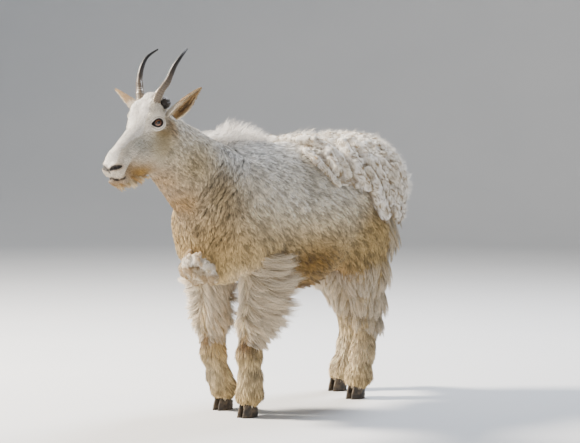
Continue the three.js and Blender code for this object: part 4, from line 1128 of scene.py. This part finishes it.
def dewclaw(leg, which):
    root = np.array(leg["joints"][5], float) + (which * 17, 22, -8)
    lean = unit(np.array([which * 0.2, 0.75, -0.62]))
    across = unit(np.cross(lean, [1, 0, 0]))
    rings = []
    for out in np.linspace(0, 29, 14):
        t = out / 29
        radius = 8.6 * math.sqrt(max(1 - t ** 3, 0.01)) * (1 + 0.02 * math.sin(out * 1.7))
        turn = turns(28)
        rings.append(root + lean * out + (np.cos(turn) * radius)[:, None] * np.array([1, 0, 0])
                     + (np.sin(turn) * radius * 0.75)[:, None] * across)
    return tube(rings)


for name, leg in LEGS.items():
    for place, which in (("inner", -leg["side"]), ("outer", leg["side"])):
        for kind, maker, node in (("claw", claw, "hoof"), ("spur", dewclaw, "dewclaw")):
            points, faces = maker(leg, which)
            piece = make_object(f"{name}_{place}_{kind}", points, faces)
            piece.data.materials.append(hoof_wall)
            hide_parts(f"{name}_{place}_{node}")


# Winter wool still on the back and rump: its lower edge as height by place along the back
WOOL_EDGE = [(-75, 990), (-62, 890), (-40, 842), (14, 772), (120, 772), (195, 765), (240, 700), (280, 655),
             (330, 650), (400, 636), (520, 600)]


def wool_share(p):
    """How far inside the wool's outline a place lies, in millimetres."""
    low = np.interp(p[..., 1], [y for y, _ in WOOL_EDGE], [z for _, z in WOOL_EDGE])
    ragged = 26 * (noise(p, 42, 11) - 0.5)
    front = p[..., 1] + 15 + 45 * smooth(50, 110, np.abs(p[..., 0]))
    return np.minimum(p[..., 2] - low, front) + ragged


ROPES = [
    # path of a shed rope on the left side, and its thickness at start and end
    ([[117, -60, 892], [170, -41, 845], [212, 14, 770]], 11, 10),
    ([[149, 20, 886], [194, 15, 822]], 15, 19),
    ([[120, 134, 908], [182, 122, 845], [208, 158, 768]], 20, 24),
    ([[205, 110, 768], [214, 165, 756], [214, 215, 756]], 6, 7),
    ([[195, 194, 818], [210, 222, 738], [205, 272, 660]], 21, 24),
    ([[100, 60, 912], [166, 62, 862], [202, 74, 802]], 14, 16),
    ([[165, 240, 858], [200, 262, 788], [208, 300, 700]], 19, 16),
    ([[150, 330, 838], [176, 366, 748], [184, 384, 680]], 20, 17),
    ([[60, -20, 930], [105, 0, 918], [146, 40, 892]], 14, 14),
    ([[90, 200, 925], [150, 210, 885], [190, 226, 820]], 17, 15),
    ([[80, 290, 915], [130, 310, 880], [165, 330, 820]], 18, 16),
]
WOOL_BOX = [-262, -110, 470], [262, 545, 985]
WOOL_RODS = TRUNK_RODS + rods(MAT_MASSES)
wool, surface = Field(*WOOL_BOX, WOOL_VOXEL), Field(*WOOL_BOX, 9)
for rod in WOOL_RODS:
    wool.melt(rod, BODY_BLEND, 30)
    surface.melt(rod, BODY_BLEND, 30)
wool.everywhere(lambda d, p: d + 6)
wool_points, wool_quads = surface.mesh()
wool_normals = vertex_normals(wool_points, wool_quads)


def flow_at(p):
    """The way the shed wool hangs: back along the spine, down and back on the sides."""
    side = smooth(40, 130, np.abs(p[..., 0]))
    return np.stack([0.1 * np.sign(p[..., 0]) * side, mix(1.0, 0.6, side), mix(-0.1, -0.8, side)], axis=-1)


SMALL_ROPES, CLEARANCE = 760, 34  # ropes strewn over the wool, kept this far from the big ones
ROPE_LINES = [spline(np.array(path) * (side, 1, 1), 24)[0] for path, _, _ in ROPES for side in (1, -1)]
rope_gap = lambda p: np.min([path_distance(line, p.astype(np.float32)) for line in ROPE_LINES], axis=0)
seeds, outs = scatter(wool_points, wool_quads, wool_normals, SMALL_ROPES,
                      lambda p: (wool_share(p) > 2).astype(float))
clear = rope_gap(seeds) > CLEARANCE
seeds, outs = seeds[clear], outs[clear]
flows = flow_at(seeds) + rng.normal(0, 0.42, seeds.shape)
for seed, out, way in zip(seeds, outs, flows):
    thick, long = rng.uniform(7, 17), rng.uniform(34, 96)
    way = unit(way - dot(way, out) * out)
    cross, bend = np.cross(way, out), rng.normal(0, 0.3)
    steps = np.linspace(-0.5, 0.5, 4) * long
    line = [seed + way * k + cross * bend * k * k / long - out * (k * k / 420 + 0.12 * thick)
            for k in steps]
    for k in range(3):
        wool.melt((line[k], line[k + 1], (thick * (1 - 0.1 * k), thick * (0.9 - 0.1 * k)), 1), 3, 10)


def matted(d, p):
    """Roughens the mat and ends it at the wool's ragged outline."""
    near = np.abs(d) < 14
    q = p[near]
    rough = 4.5 * (noise(q, 15, 12) - 0.5) + 3.0 * (noise(q, 8, 13) - 0.5)
    value = d[near] + rough
    d[near] = -smooth_min(-value, 0.8 * wool_share(q) + 4, 10)
    far = ~near & (d < 0)
    d[far] = np.maximum(d[far], np.minimum(-0.8 * wool_share(p[far]), 14))
    return d


wool.everywhere(matted)
for path, thick, end in ROPES:
    for side in (1, -1):
        wander = rng.normal(0, 1.0 if side > 0 else 12.0, (len(path), 3))
        line, _ = spline(np.array(path) * (side, 1, 1) + wander, 18)
        for k in range(17):
            girth = mix(thick, end, k / 17) * rng.uniform(0.74, 1.16)
            lump = line[k] + rng.normal(0, 2.6, 3)
            wool.melt((lump, line[k + 1], (girth, girth), 1), 5, 12)
wool.everywhere(lambda d, p: d + 4.2 * (noise(p, 9, 18) - 0.5) + 3.0 * (noise(p, 20, 19) - 0.5))
mat_points, mat_quads = wool.mesh()
mat_normals = vertex_normals(mat_points, mat_quads)

# The roll of shed wool across the brisket
brisket = Field([-100, -570, 430], [120, -400, 580], ROLL_VOXEL)
PAD = [[-42, -492, 504], [-10, -500, 494], [22, -494, 486], [50, -474, 482]]
RIM = [[-14, -516, 528], [10, -520, 532], [28, -517, 537], [46, -508, 532], [58, -495, 514], [60, -477, 496],
       [50, -462, 478]]
for path, count, radii, jitter in ((PAD, 60, (13, 22), 7), (RIM, 70, (6, 10.5), 5)):
    line, _ = spline(path, 80)
    for k in range(count):
        centre = line[int(rng.uniform(0, 79))] + rng.normal(0, jitter, 3)
        size = rng.uniform(*radii)
        brisket.melt((centre, centre + rng.normal(0, 6, 3), (size, size * 0.8), 1), 4, 12)
brisket.everywhere(lambda d, p: d + 4.0 * (noise(p, 12, 14) - 0.5) + 2.6 * (noise(p, 6, 15) - 0.5))
roll_points, roll_quads = brisket.mesh()
roll_normals = vertex_normals(roll_points, roll_quads)


def wool_tint(p, low, high):
    base = mix(linear(low), linear(high), smooth(0.3, 0.7, noise(p, 20, 16))[:, None])
    return base * (1 + 0.22 * (noise(p, 9, 17) - 0.5))[:, None]


raised = np.concatenate([field_at(WOOL_RODS, part.astype(np.float32), BODY_BLEND)
                         for part in np.array_split(mat_points, 8)])
mat_tint = wool_tint(mat_points, "#e6dfd0", "#f5f2ec")
mat_tint = mix(linear("#94805f"), mat_tint, smooth(-8, 4, raised)[:, None])  # painted shade: tan and darker down in the gaps
mat_tint = mix(mat_tint, linear("#f6f5f2"), 0.5 * smooth(800, 920, mat_points[:, 2])[:, None])
rim_gap = path_distance(RIM, roll_points.astype(np.float32))
roll_tint = wool_tint(roll_points, "#b49c7a", "#dccfb6")
roll_tint = mix(roll_tint, linear("#f4efe6"), smooth(24, 12, rim_gap)[:, None])
for name, p, q, tint in (("wool_mat", mat_points, mat_quads, mat_tint),
                         ("brisket_wool", roll_points, roll_quads, roll_tint)):
    piece = make_object(name, p, [q], tint)
    layer = piece.data.uv_layers.new(name="OFBake")
    layer.data.foreach_set("uv", charted_uv(p, q).astype(np.float32).ravel())
    piece.data.materials.append(felt)


# Short coat of the body
def hair_grows(p):
    """How much short hair grows: none under the wool, inside the head or on the hooves."""
    ok = (wool_share(p) < 8) | (p[..., 2] < 540) | (p[..., 1] < -80)
    return ok * (p[..., 2] > 30) * smooth(-705, -640, p[..., 1])


def body_length(p):
    """The summer coat's length in millimetres."""
    y, z = p[:, 1], p[:, 2]
    length = mix(17, 26, smooth(560, 470, z))
    length = mix(length, 15, smooth(-440, -560, y))
    length = mix(length, 13, smooth(-600, -680, y))
    length = mix(length, 32, smooth(860, 920, z) * smooth(-440, -380, y))
    length = mix(length, 30, smooth(300, 220, z))
    return mix(length, 13, smooth(85, 50, z))


def shaded(tint, count, spread):
    return tint * rng.normal(1, spread, (count, 1))


def denser(p):
    """More hairs on the lower legs, the neck and the chest."""
    return 1 + 0.8 * (p[..., 2] < 300) + 0.4 * (p[..., 1] < -380)


BODY_HAIRS, FACE_HAIRS, WOOL_HAIRS = 150000, 54000, 27000
roots, normals = scatter(body_points, body_quads, body_normals, BODY_HAIRS * SHARE,
                         lambda p: hair_grows(p) * denser(p))
lie = lie_at(roots)
length = body_length(roots) * rng.uniform(0.75, 1.25, len(roots))
furrow = furrow_at(roots)
ruffle = noise(roots, 14, 20)
lift = 0.3 + 0.22 * (ruffle - 0.5) + 0.1 * rng.normal(size=len(roots)) - 0.2 * furrow
paths, across = grow(roots, normals, lie, length, np.clip(lift, 0.08, 1.1), 2, droop=0.1)
seeds = rng.choice(len(roots), len(roots) // 4, replace=False)
parent = nearest(roots, roots[seeds])
paths = pull(paths, paths[seeds], parent, 0.5)
clump = rng.normal(1, 0.13, len(seeds))[parent][:, None]
tint = shaded(tint_at(roots), len(roots), 0.05) * clump
# roots at 0.42 of the tint are painted shade deep in the coat, and tips at 1.22 painted light
ribbons("summer_coat", paths, across, normals, 2.3 / math.sqrt(SHARE), tint * 0.42,
        np.clip(tint * 1.22, 0, 1), coat)

# Short hair of the head
roots, normals = scatter(head_points, head_quads, head_normals, FACE_HAIRS * SHARE,
                         lambda p: 1.0 + 0.8 * (p[..., 1] < -740))


def bare_places(p):
    """The distance to open skin, and where no hair grows on the head."""
    q = mirrored(p)
    inside = nostril_at(q)
    gland = np.linalg.norm((q - GLAND) / GLAND_HALF, axis=1)
    root = path_distance(HORN_LINE[:2], q)
    mouth, philtrum = path_distance(MOUTH, q), path_distance(PHILTRUM, q)
    open_skin = np.minimum(np.minimum(inside, mouth - 2.4), philtrum - 1.5)
    return open_skin, (gland < 0.95) | (root < 18) | (almond_at(p) < 1.32) | (open_skin < 1.6)


open_skin, bald = bare_places(roots)
keep = ~bald & (rng.random(len(roots)) < smooth(-625, -690, roots[:, 1]))
roots, normals, open_skin = roots[keep], normals[keep], open_skin[keep]
lie = lie_at(roots)
size = mix(4, 9, smooth(-900, -820, roots[:, 1]))
size = mix(size, 12, smooth(-770, -690, roots[:, 1]))
size = mix(size, 17, np.clip(smooth(-700, -650, roots[:, 1]) + smooth(1030, 1050, roots[:, 2]), 0, 1))
size = size * mix(0.3, 1, smooth(1, 12, open_skin)) * mix(0.3, 1, smooth(1.3, 2.6, almond_at(roots)))
size = size * rng.uniform(0.75, 1.25, len(roots))
lift = np.clip(0.28 + 0.2 * (noise(roots, 14, 21) - 0.5) + 0.08 * rng.normal(size=len(roots)), 0.06, 1)
paths, across = grow(roots, normals, lie, size, lift, 2)
seeds = rng.choice(len(roots), len(roots) // 8, replace=False)
parent = nearest(roots, roots[seeds])
paths = pull(paths, paths[seeds], parent, 0.3)
near_eye = smooth(2.5, 1.9, almond_at(roots))[:, None]
beside = smooth(26, 34, path_distance(PAINTED_BRIDGE_LIGHT, mirrored(roots)))  # beside the painted light of the bridge the hair is pepper and salt
speckle = 0.05 + 0.2 * smooth(-720, -760, roots[:, 1]) * beside
tint = head_tint(roots) * (1 + speckle[:, None] * rng.normal(size=(len(roots), 1)))
tint = tint * rng.normal(1, 0.07, len(seeds))[parent][:, None]
tint = mix(tint, linear("#efebe4"), 0.85 * near_eye)
# roots darkened as painted shade deep in the coat, most toward the back of the head
painted_root_shade = mix(0.82, 0.55, smooth(-760, -680, roots[:, 1]))[:, None]
ribbons("face_coat", paths, across, normals, 1.25 / math.sqrt(SHARE), np.clip(tint * painted_root_shade, 0, 1),
        np.clip(tint * 1.06, 0, 1), coat)


def fleece(name, roots, normals, lie, length, lift, droop, curl, tint, per_lock, tightness, width, segments=4,
           painted_root_shade=0.6, tips=None):
    """Long hair over a surface, drawn together into soft locks toward its ends."""
    paths, across = grow(roots, normals, lie, length, lift, segments, droop, curl)
    seeds = rng.choice(len(roots), max(len(roots) // per_lock, 2), replace=False)
    parent = nearest(roots, roots[seeds])
    paths = pull(paths, paths[seeds], parent, tightness)
    shade = shaded(tint, len(roots), 0.05) * rng.normal(1, 0.07, len(seeds))[parent][:, None]
    high = shade * 1.06 if tips is None else mix(shade, tips, 0.6)
    # the roots are darkened as painted shade deep in the hair
    ribbons(name, paths, across, normals, width / math.sqrt(SHARE), np.clip(shade * painted_root_shade, 0, 1),
            np.clip(high, 0, 1), coat, roll=0.8)


# Long locks: each is a bundle of fine hairs drawn to one wavy path
def bundles(name, roots, normals, lie, length, strands, radius, lift, droop, curl, tint, width=1.9,
            segments=5, tightness=0.8):
    guides, _ = grow(roots, normals, lie, length, lift, segments, droop, curl)
    strands = max(6, int(strands * SHARE))
    parent = np.repeat(np.arange(len(roots)), strands)
    n = len(parent)
    along = unit(lie - dot(lie, normals)[:, None] * normals)
    across = np.cross(along, normals)
    spread = np.sqrt(rng.random((n, 1))) * np.broadcast_to(radius, len(roots))[parent][:, None]
    turn = rng.random((n, 1)) * 2 * math.pi
    start = roots[parent] + spread * (np.cos(turn) * along[parent] + np.sin(turn) * across[parent])
    long = np.broadcast_to(length, len(roots))[parent] * rng.uniform(0.7, 1.08, n)
    ruffled = np.broadcast_to(lift, len(roots))[parent] + rng.normal(0, 0.1, n)
    paths, side = grow(start, normals[parent], lie[parent] + rng.normal(0, 0.12, (n, 3)), long, ruffled,
                       segments, droop, curl * 0.5)
    paths = pull(paths, guides, parent, tightness)
    shade = tint[parent] * rng.normal(1, 0.06, (n, 1)) * rng.normal(1, 0.08, len(roots))[parent][:, None]
    # darker roots, painted shade inside the lock
    ribbons(name, paths, side, normals[parent], width, shade * 0.7, np.minimum(shade * 1.08, 1), coat)


def around_leg(leg, z, degrees):
    """Places on the skin round a leg; turn 0 faces front, 90 out and 180 back."""
    joints = np.array(leg["joints"], float)[::-1]
    turn = np.radians(degrees)
    at = np.stack([np.interp(z, joints[:, 2], joints[:, i]) for i in range(2)] + [z], axis=1)
    way = np.stack([leg["side"] * np.sin(turn), -np.cos(turn), np.zeros(len(z))], axis=1)
    return surface_places(leg_rods(leg), at, way, 9)


def surface_places(all_rods, at, way, inset, blend=LEG_BLEND, reach=300):
    """Walks out from places inside until the skin, and returns it with its normal."""
    low, high = np.zeros(len(at)), np.full(len(at), float(reach))
    for _ in range(20):
        middle = (low + high) / 2
        inside = field_at(all_rods, at + middle[:, None] * way, blend) < -inset
        low, high = np.where(inside, middle, low), np.where(inside, high, middle)
    places = at + low[:, None] * way
    slope = []
    for axis in np.eye(3) * 2:
        slope.append(field_at(all_rods, places + axis, blend) - field_at(all_rods, places - axis, blend))
    return places, unit(np.stack(slope, axis=1))


# Long hair of the legs, by rules for its lie and length round each leg
def around(side, degrees):
    """The way round a leg toward its outer side at each turn."""
    turn = np.radians(degrees)
    return side * np.cos(turn), np.sin(turn)


def leg_patch(leg, count, heights, sector, rule):
    """Hairs over a part of a leg: roots, normals, lie, length, lift and droop."""
    n = int(count * SHARE)
    z, degrees = rng.uniform(*heights, n), rng.uniform(*sector, n)
    roots, normals = around_leg(leg, z, degrees)
    lie, length, lift, droop = rule(leg["side"], z, degrees)
    lie = unit(lie + rng.normal(0, 0.06, (n, 3)))
    return roots, normals, lie, length * rng.uniform(0.6, 1.1, n), lift, droop


def swept_back(side, z, degrees):
    """Behind a parting at the front of the forearm the hair wraps round, falls, and curves up and back."""
    x, y = around(side, np.clip(degrees + 32, 0, 90))
    high = smooth(270, 430, z)
    down = mix(0.95, 0.75, high) + 0.3 * smooth(30, -10, degrees)
    lie = np.stack([x + 0.05 * side, y + 0.12, -down], axis=1)
    length = mix(54, 142, smooth(250, 400, z)) * mix(0.55, 1, smooth(-10, 50, degrees))
    lift = mix(0.2, 0.5, smooth(0, 80, degrees))
    lift = lift * mix(1, 0.3, smooth(400, 520, z))  # flatter where the leg is widest
    return lie, length, lift, mix(0.1, -0.95, high)


def hanging_inside(side, z, degrees):
    """Before the parting it hangs down the inner side, a little back."""
    x, y = around(side, degrees)
    lie = np.stack([-0.55 * x, 0.15 - 0.55 * y, np.full(len(z), -0.9)], axis=1)
    return lie, mix(46, 82, smooth(255, 420, z)), np.full(len(z), 0.26), np.full(len(z), 0.5)


def down_haunch(side, z, degrees):
    """The hind leg's hair hangs down and back, waved, longest behind and shorter toward the foot."""
    behind = smooth(40, 120, degrees) * smooth(320, 240, degrees)
    lie = np.stack([0.1 * side * np.ones(len(z)), mix(-0.05, 0.5, behind), -np.ones(len(z))], axis=1)
    length = mix(34, mix(62, 92, behind), smooth(190, 330, z))
    return lie, length, mix(0.24, 0.42, behind), np.full(len(z), 0.4)


def straight_down(_side, z, _degrees):
    """The short hair of the cannons and pasterns hangs straight down."""
    lie = np.stack([np.zeros(len(z)), 0.1 * np.ones(len(z)), -np.ones(len(z))], axis=1)
    return lie, mix(22, 36, smooth(60, 200, z)), np.full(len(z), 0.22), np.full(len(z), 0.3)


long_hair, short_hair = [], []
for name, leg in LEGS.items():
    if name.endswith("fore"):
        long_hair += [leg_patch(leg, 9200, (252, 565), (-10, 235), swept_back),
                      leg_patch(leg, 4200, (252, 545), (-112, -8), hanging_inside)]
        top = 268
    else:
        long_hair += [leg_patch(leg, 10500, (185, 505), (-70, 290), down_haunch)]
        top = 225
    short_hair += [leg_patch(leg, 3400, (50, top), (0, 360), straight_down)]
for title, patches, per_lock, tightness, rows in (("leg_hair", long_hair, 30, 0.68, 4),
                                                  ("shin_hair", short_hair, 9, 0.45, 3)):
    roots, normals, lies, lengths, lifts, droops = (np.concatenate(column) for column in zip(*patches))
    fleece(title, roots, normals, lies, lengths, lifts, droops, 0.2, tint_at(roots), per_lock=per_lock,
           tightness=tightness, width=1.9, segments=rows, painted_root_shade=0.45, tips=linear("#fbf1e0"))


def on_trunk(x, y, z, way, inset=10):
    """Places on the trunk's skin straight out from places inside it."""
    at = np.stack(np.broadcast_arrays(np.asarray(x, float), y, z), axis=-1)
    way = unit(np.stack(np.broadcast_arrays(*[np.asarray(w, float) for w in way]), axis=-1))
    return surface_places(TRUNK_RODS, at, np.broadcast_to(way, at.shape), inset, BODY_BLEND, 400)


# Crest of sparse tall hairs over the neck and withers
n = int(1500 * SHARE)
y = -120 - 330 * rng.random(n) ** 0.9
roots, normals = on_trunk(rng.normal(0, 14, n), y, np.full(n, 800.0),
                          (rng.normal(0, 0.12, n), np.zeros(n), np.ones(n)))
tall = np.where(y < -370, 1 - (-370 - y) / 130, 1 - (y + 370) / 330)
length = np.clip(130 * tall, 22, 130) * rng.uniform(0.35, 1.05, n)
lie = np.stack([rng.normal(0, 0.15, n), np.full(n, 0.8), np.zeros(n)], axis=1)
paths, across = grow(roots, normals, lie, length, 1.32 + rng.normal(0, 0.12, n), 5, 0.0, 0.12)
seeds = rng.choice(n, max(n // 14, 4), replace=False)
paths = pull(paths, paths[seeds], nearest(roots, roots[seeds]), 0.35)
shade = shaded(np.tile(linear("#f1efec"), (n, 1)), n, 0.03)
# slightly darker roots, painted shade
ribbons("crest_hair", paths, across, normals, 1.6, shade * 0.9, np.minimum(shade * 1.05, 1), coat, roll=1.2)

# Beard under the chin and jaw: thin separate strands with pale ends
n = 120
y = rng.uniform(-864, -736, n)
at = np.stack([rng.normal(0, 13, n), y, np.full(n, 815.0)], axis=1)
roots, normals = surface_places(HEAD_RODS, at, np.tile([0.0, 0.0, -1.0], (n, 1)), 3, HEAD_BLEND, 90)
lie = np.stack([np.zeros(n), np.full(n, 0.85), np.full(n, -0.45)], axis=1) + rng.normal(0, 0.14, (n, 3))
length = (13 + 27 * np.sin(math.pi * np.clip((y + 864) / 118, 0, 1))) * rng.uniform(0.6, 1.2, n)
shade = mix(linear("#a98856"), linear("#d8c8a6"), rng.random((n, 1)) ** 1.5)
bundles("beard", roots, normals, unit(lie), length, 16, 5, np.full(n, 0.8), 0.2, 0.14, shade, width=1.2,
        segments=4, tightness=0.62)

# Fringe of the belly and the long hair of the haunches and tail
n = 130
y = rng.uniform(-230, 190, n)
roots, normals = on_trunk(rng.normal(0, 55, n), y, np.full(n, 600.0),
                          (np.zeros(n), np.zeros(n), -np.ones(n)))
lie = np.stack([rng.normal(0, 0.2, n), np.ones(n), np.full(n, -0.3)], axis=1)
bundles("belly_hair", roots, normals, unit(lie), rng.uniform(34, 58, n), 34, 11, np.full(n, 0.3), 0.3, 0.14,
        tint_at(roots))
n = 210
turn = rng.uniform(-2.0, 2.0, n)
height = rng.uniform(520, 780, n)
roots, normals = on_trunk(np.zeros(n), np.full(n, 330.0), height, (np.sin(turn), np.cos(turn), np.zeros(n)))
lie = np.stack([np.zeros(n), np.full(n, 0.3), -np.ones(n)], axis=1) + rng.normal(0, 0.15, (n, 3))
bundles("haunch_hair", roots, normals, unit(lie), rng.uniform(48, 84, n), 30, 11, np.full(n, 0.42), 0.3, 0.2,
        mix(tint_at(roots), linear("#e9e3d8"), 0.4))
n = 46
height = rng.uniform(640, 790, n)
turn = rng.uniform(-1.9, 1.9, n)
middle = np.stack([np.zeros(n), np.interp(height, [625, 700, 790], [495, 498, 464]), height], axis=1)
way = np.stack([np.sin(turn), np.cos(turn), np.zeros(n)], axis=1)
roots, normals = surface_places(rods(TAIL_MASSES), middle, way, 4, TAIL_BLEND, 90)
lie = np.tile([0.0, 0.2, -1.0], (n, 1)) + rng.normal(0, 0.15, (n, 3))
bundles("tail_hair", roots, normals, unit(lie), rng.uniform(35, 58, n), 34, 8, np.full(n, 0.3), 0.3, 0.16,
        mix(tint_at(roots), linear("#ece6da"), 0.5))

# Loose fibres over the wool, curled, and wisps that stand up along the back
tangle = lambda p, size: np.stack([noise(p, size, s) for s in (30, 31, 32)], axis=1) - 0.5
roots, normals = scatter(mat_points, mat_quads, mat_normals, WOOL_HAIRS * SHARE)
way = flow_at(roots) + 1.7 * tangle(roots, 34)
length = mix(9, 38, rng.random(len(roots)) * noise(roots, 40, 34))
lift = 0.1 + 0.75 * noise(roots, 26, 35) * rng.random(len(roots))
high_up = smooth(780, 900, roots[:, 2])[:, None]
shade = mix(wool_tint(roots, "#e9e2d4", "#f5f2ec"), linear("#f8f7f5"), 0.6 * high_up)
# fibres down in the gaps get the same tan painted shade
sunken = smooth(2, -7, field_at(WOOL_RODS, roots.astype(np.float32), BODY_BLEND))
shade = mix(linear("#a08b68"), shade, sunken[:, None])
length = length * smooth(252, 222, np.abs(roots[:, 0]))  # keeps the widest ropes neat
fleece("wool_fibres", roots, normals, unit(way), length, lift, 0.25, 0.4, shade, per_lock=16, tightness=0.7,
       width=1.5, painted_root_shade=0.7)
roots, normals = scatter(roll_points, roll_quads, roll_normals, 5000 * SHARE)
way = np.array([0.3, 0.1, -0.8]) + 1.6 * tangle(roots, 20)
on_rim = smooth(25, 13, path_distance(RIM, roots.astype(np.float32)))[:, None]
shade = mix(linear("#b59f7c"), linear("#f5f0e8"), on_rim)
fleece("brisket_fibres", roots, normals, unit(way), rng.uniform(6, 17, len(roots)), 0.4, 0.2, 0.5, shade,
       per_lock=10, tightness=0.5, width=1.2, segments=3, painted_root_shade=0.8)
roots, normals = scatter(mat_points, mat_quads, mat_normals, 7000 * SHARE,
                         lambda p: smooth(780, 900, p[..., 2]) + 1.5 * smooth(330, 420, p[..., 1]))
length = rng.uniform(16, 46, len(roots)) * (0.4 + noise(roots, 34, 33))
way = np.tile([0.0, 1.0, 0.1], (len(roots), 1)) + rng.normal(0, 0.4, (len(roots), 3))
paths, across = grow(roots, normals, unit(way), length, rng.uniform(0.5, 1.2, len(roots)), 3, 0.0, 0.3)
seeds = rng.choice(len(roots), max(len(roots) // 12, 4), replace=False)
paths = pull(paths, paths[seeds], nearest(roots, roots[seeds]), 0.6)
shade = shaded(np.tile(linear("#f0ede6"), (len(roots), 1)), len(roots), 0.05)
# slightly darker roots, painted shade
ribbons("wool_wisps", paths, across, normals, 1.5, shade * 0.85, np.minimum(shade * 1.04, 1), coat, roll=1.2)

# Short hair outside the ears and streaks inside them
for name, (outer_rows, inner_rows, (root, aim, face)) in ears.items():
    for kind, rows_, amount in (("outside", outer_rows, 4200), ("inside", inner_rows, 2600)):
        n = int(amount * SHARE)
        t, s = rng.random(n) ** 0.85 * 0.97, rng.random(n)
        i, j = t * (rows_.shape[0] - 1.001), s * (rows_.shape[1] - 1.001)
        a, b = i.astype(int), j.astype(int)
        fi, fj = (i - a)[:, None], (j - b)[:, None]
        at = mix(mix(rows_[a, b], rows_[a + 1, b], fi), mix(rows_[a, b + 1], rows_[a + 1, b + 1], fi), fj)
        out = unit(np.cross(rows_[a + 1, b] - rows_[a, b], rows_[a, b + 1] - rows_[a, b]))
        middle = root + aim * (t * EAR_SIZE)[:, None] + face * 8
        toward = np.sign(dot(out, middle - at))[:, None]
        out = out * toward if kind == "inside" else -out * toward
        edge = np.abs(2 * s - 1)
        if kind == "outside":
            length = rng.uniform(6, 12, n)
            shade = mix(linear("#e2dcd0"), linear("#997f5c"), smooth(0.2, 0.55, t)[:, None])
            lift = 0.22
        else:
            length = np.where(edge > 0.7, rng.uniform(12, 24, n), rng.uniform(7, 16, n)) * (1 - 0.5 * t)
            shade = ear_shade(1 - 2 * s, t)
            shade = mix(shade, linear("#ddd0b6"), 0.7 * smooth(0.75, 0.95, edge)[:, None])
            lift = np.where(edge > 0.7, 0.5, 0.2)
        shade = shaded(shade, n, 0.08)
        way = aim + rng.normal(0, 0.12, (n, 3)) + (0.3 * face if kind == "inside" else 0)
        paths, across = grow(at, out, unit(way), length, lift, 2)
        # slightly darker roots, painted shade
        ribbons(f"{name}_ear_{kind}_hair", paths, across, out, 1.1 / math.sqrt(SHARE), shade * 0.85,
                np.minimum(shade * 1.05, 1), coat)

# Camera as in the photograph
camera = bpy.data.cameras.new("camera")
camera.lens = 124.5  # mm; with the distance below it gives 3.49 mm to a pixel at the goat's middle
camera.sensor_width = 36
camera.clip_end = 60
view = bpy.data.objects.new("camera", camera)
target = Vector((0, SHIFT / 1000, 0.640))
back = Vector((0.643 * 0.9986, -0.766 * 0.9986, 0.0523))  # 40 degrees to the goat's left of its front, 3 up
view.location = target + 7.0 * back  # metres
view.rotation_euler = back.to_track_quat("Z", "Y").to_euler()
bpy.context.scene.collection.objects.link(view)
bpy.context.scene.camera = view

# Floor that curves up into a plain backdrop on every side, well beyond the camera
FLAT, BEND, STEPS, SECTORS = 9.0, 4.0, 16, 96  # metres of flat floor and of its bend, and the mesh's counts
profile = [(1.0, 0.0), (FLAT, 0.0)]
for step in range(1, STEPS + 1):
    turn = step / STEPS * math.pi / 2
    profile.append((FLAT + BEND * math.sin(turn), BEND - BEND * math.cos(turn)))
turn = turns(SECTORS)
rows = [np.stack([out * np.cos(turn), out * np.sin(turn), np.full(SECTORS, up)], axis=1)
        for out, up in profile]
near = np.arange(SECTORS)
fan = np.stack([np.full(SECTORS, len(profile) * SECTORS), near, (near + 1) % SECTORS], axis=1)
places = np.concatenate([*rows, [(0, 0, 0)]]) * 1000 - (0, SHIFT, 0)
floor = make_object("studio_floor", places, [ring_quads(len(profile), SECTORS)[:, ::-1], fan])
pieces.remove(floor)
floor.data.materials.append(paper)
floor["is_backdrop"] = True


def area_light(name, place, power, size, colour):
    light = bpy.data.lights.new(name, "AREA")
    light.energy = power
    light.size = size
    light.color = tuple(linear(colour))
    lamp = bpy.data.objects.new(name, light)
    lamp.location = place
    lamp.rotation_euler = (Vector(place) - Vector((0, 0, 0.65))).to_track_quat("Z", "Y").to_euler()
    bpy.context.scene.collection.objects.link(lamp)


area_light("key", (-3.6, -2.0, 4.4), 1620, 1.0, "#fff3e2")
area_light("fill", (3.6, -4.2, 1.9), 60, 3.0, "#ffe6c8")
area_light("rim", (-0.4, 3.2, 4.4), 430, 1.6, "#f1f6ff")
world = bpy.data.worlds.new("world")
world.use_nodes = True
world.node_tree.nodes["Background"].inputs["Color"].default_value = rgba("#dfe6ee")
world.node_tree.nodes["Background"].inputs["Strength"].default_value = 0.49
bpy.context.scene.world = world

for piece in pieces:
    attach(piece, "root")

size = {"cad": [list(map(float, corner)) for corner in cad_box]}
size["visual"] = [list(map(float, corner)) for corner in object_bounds()]
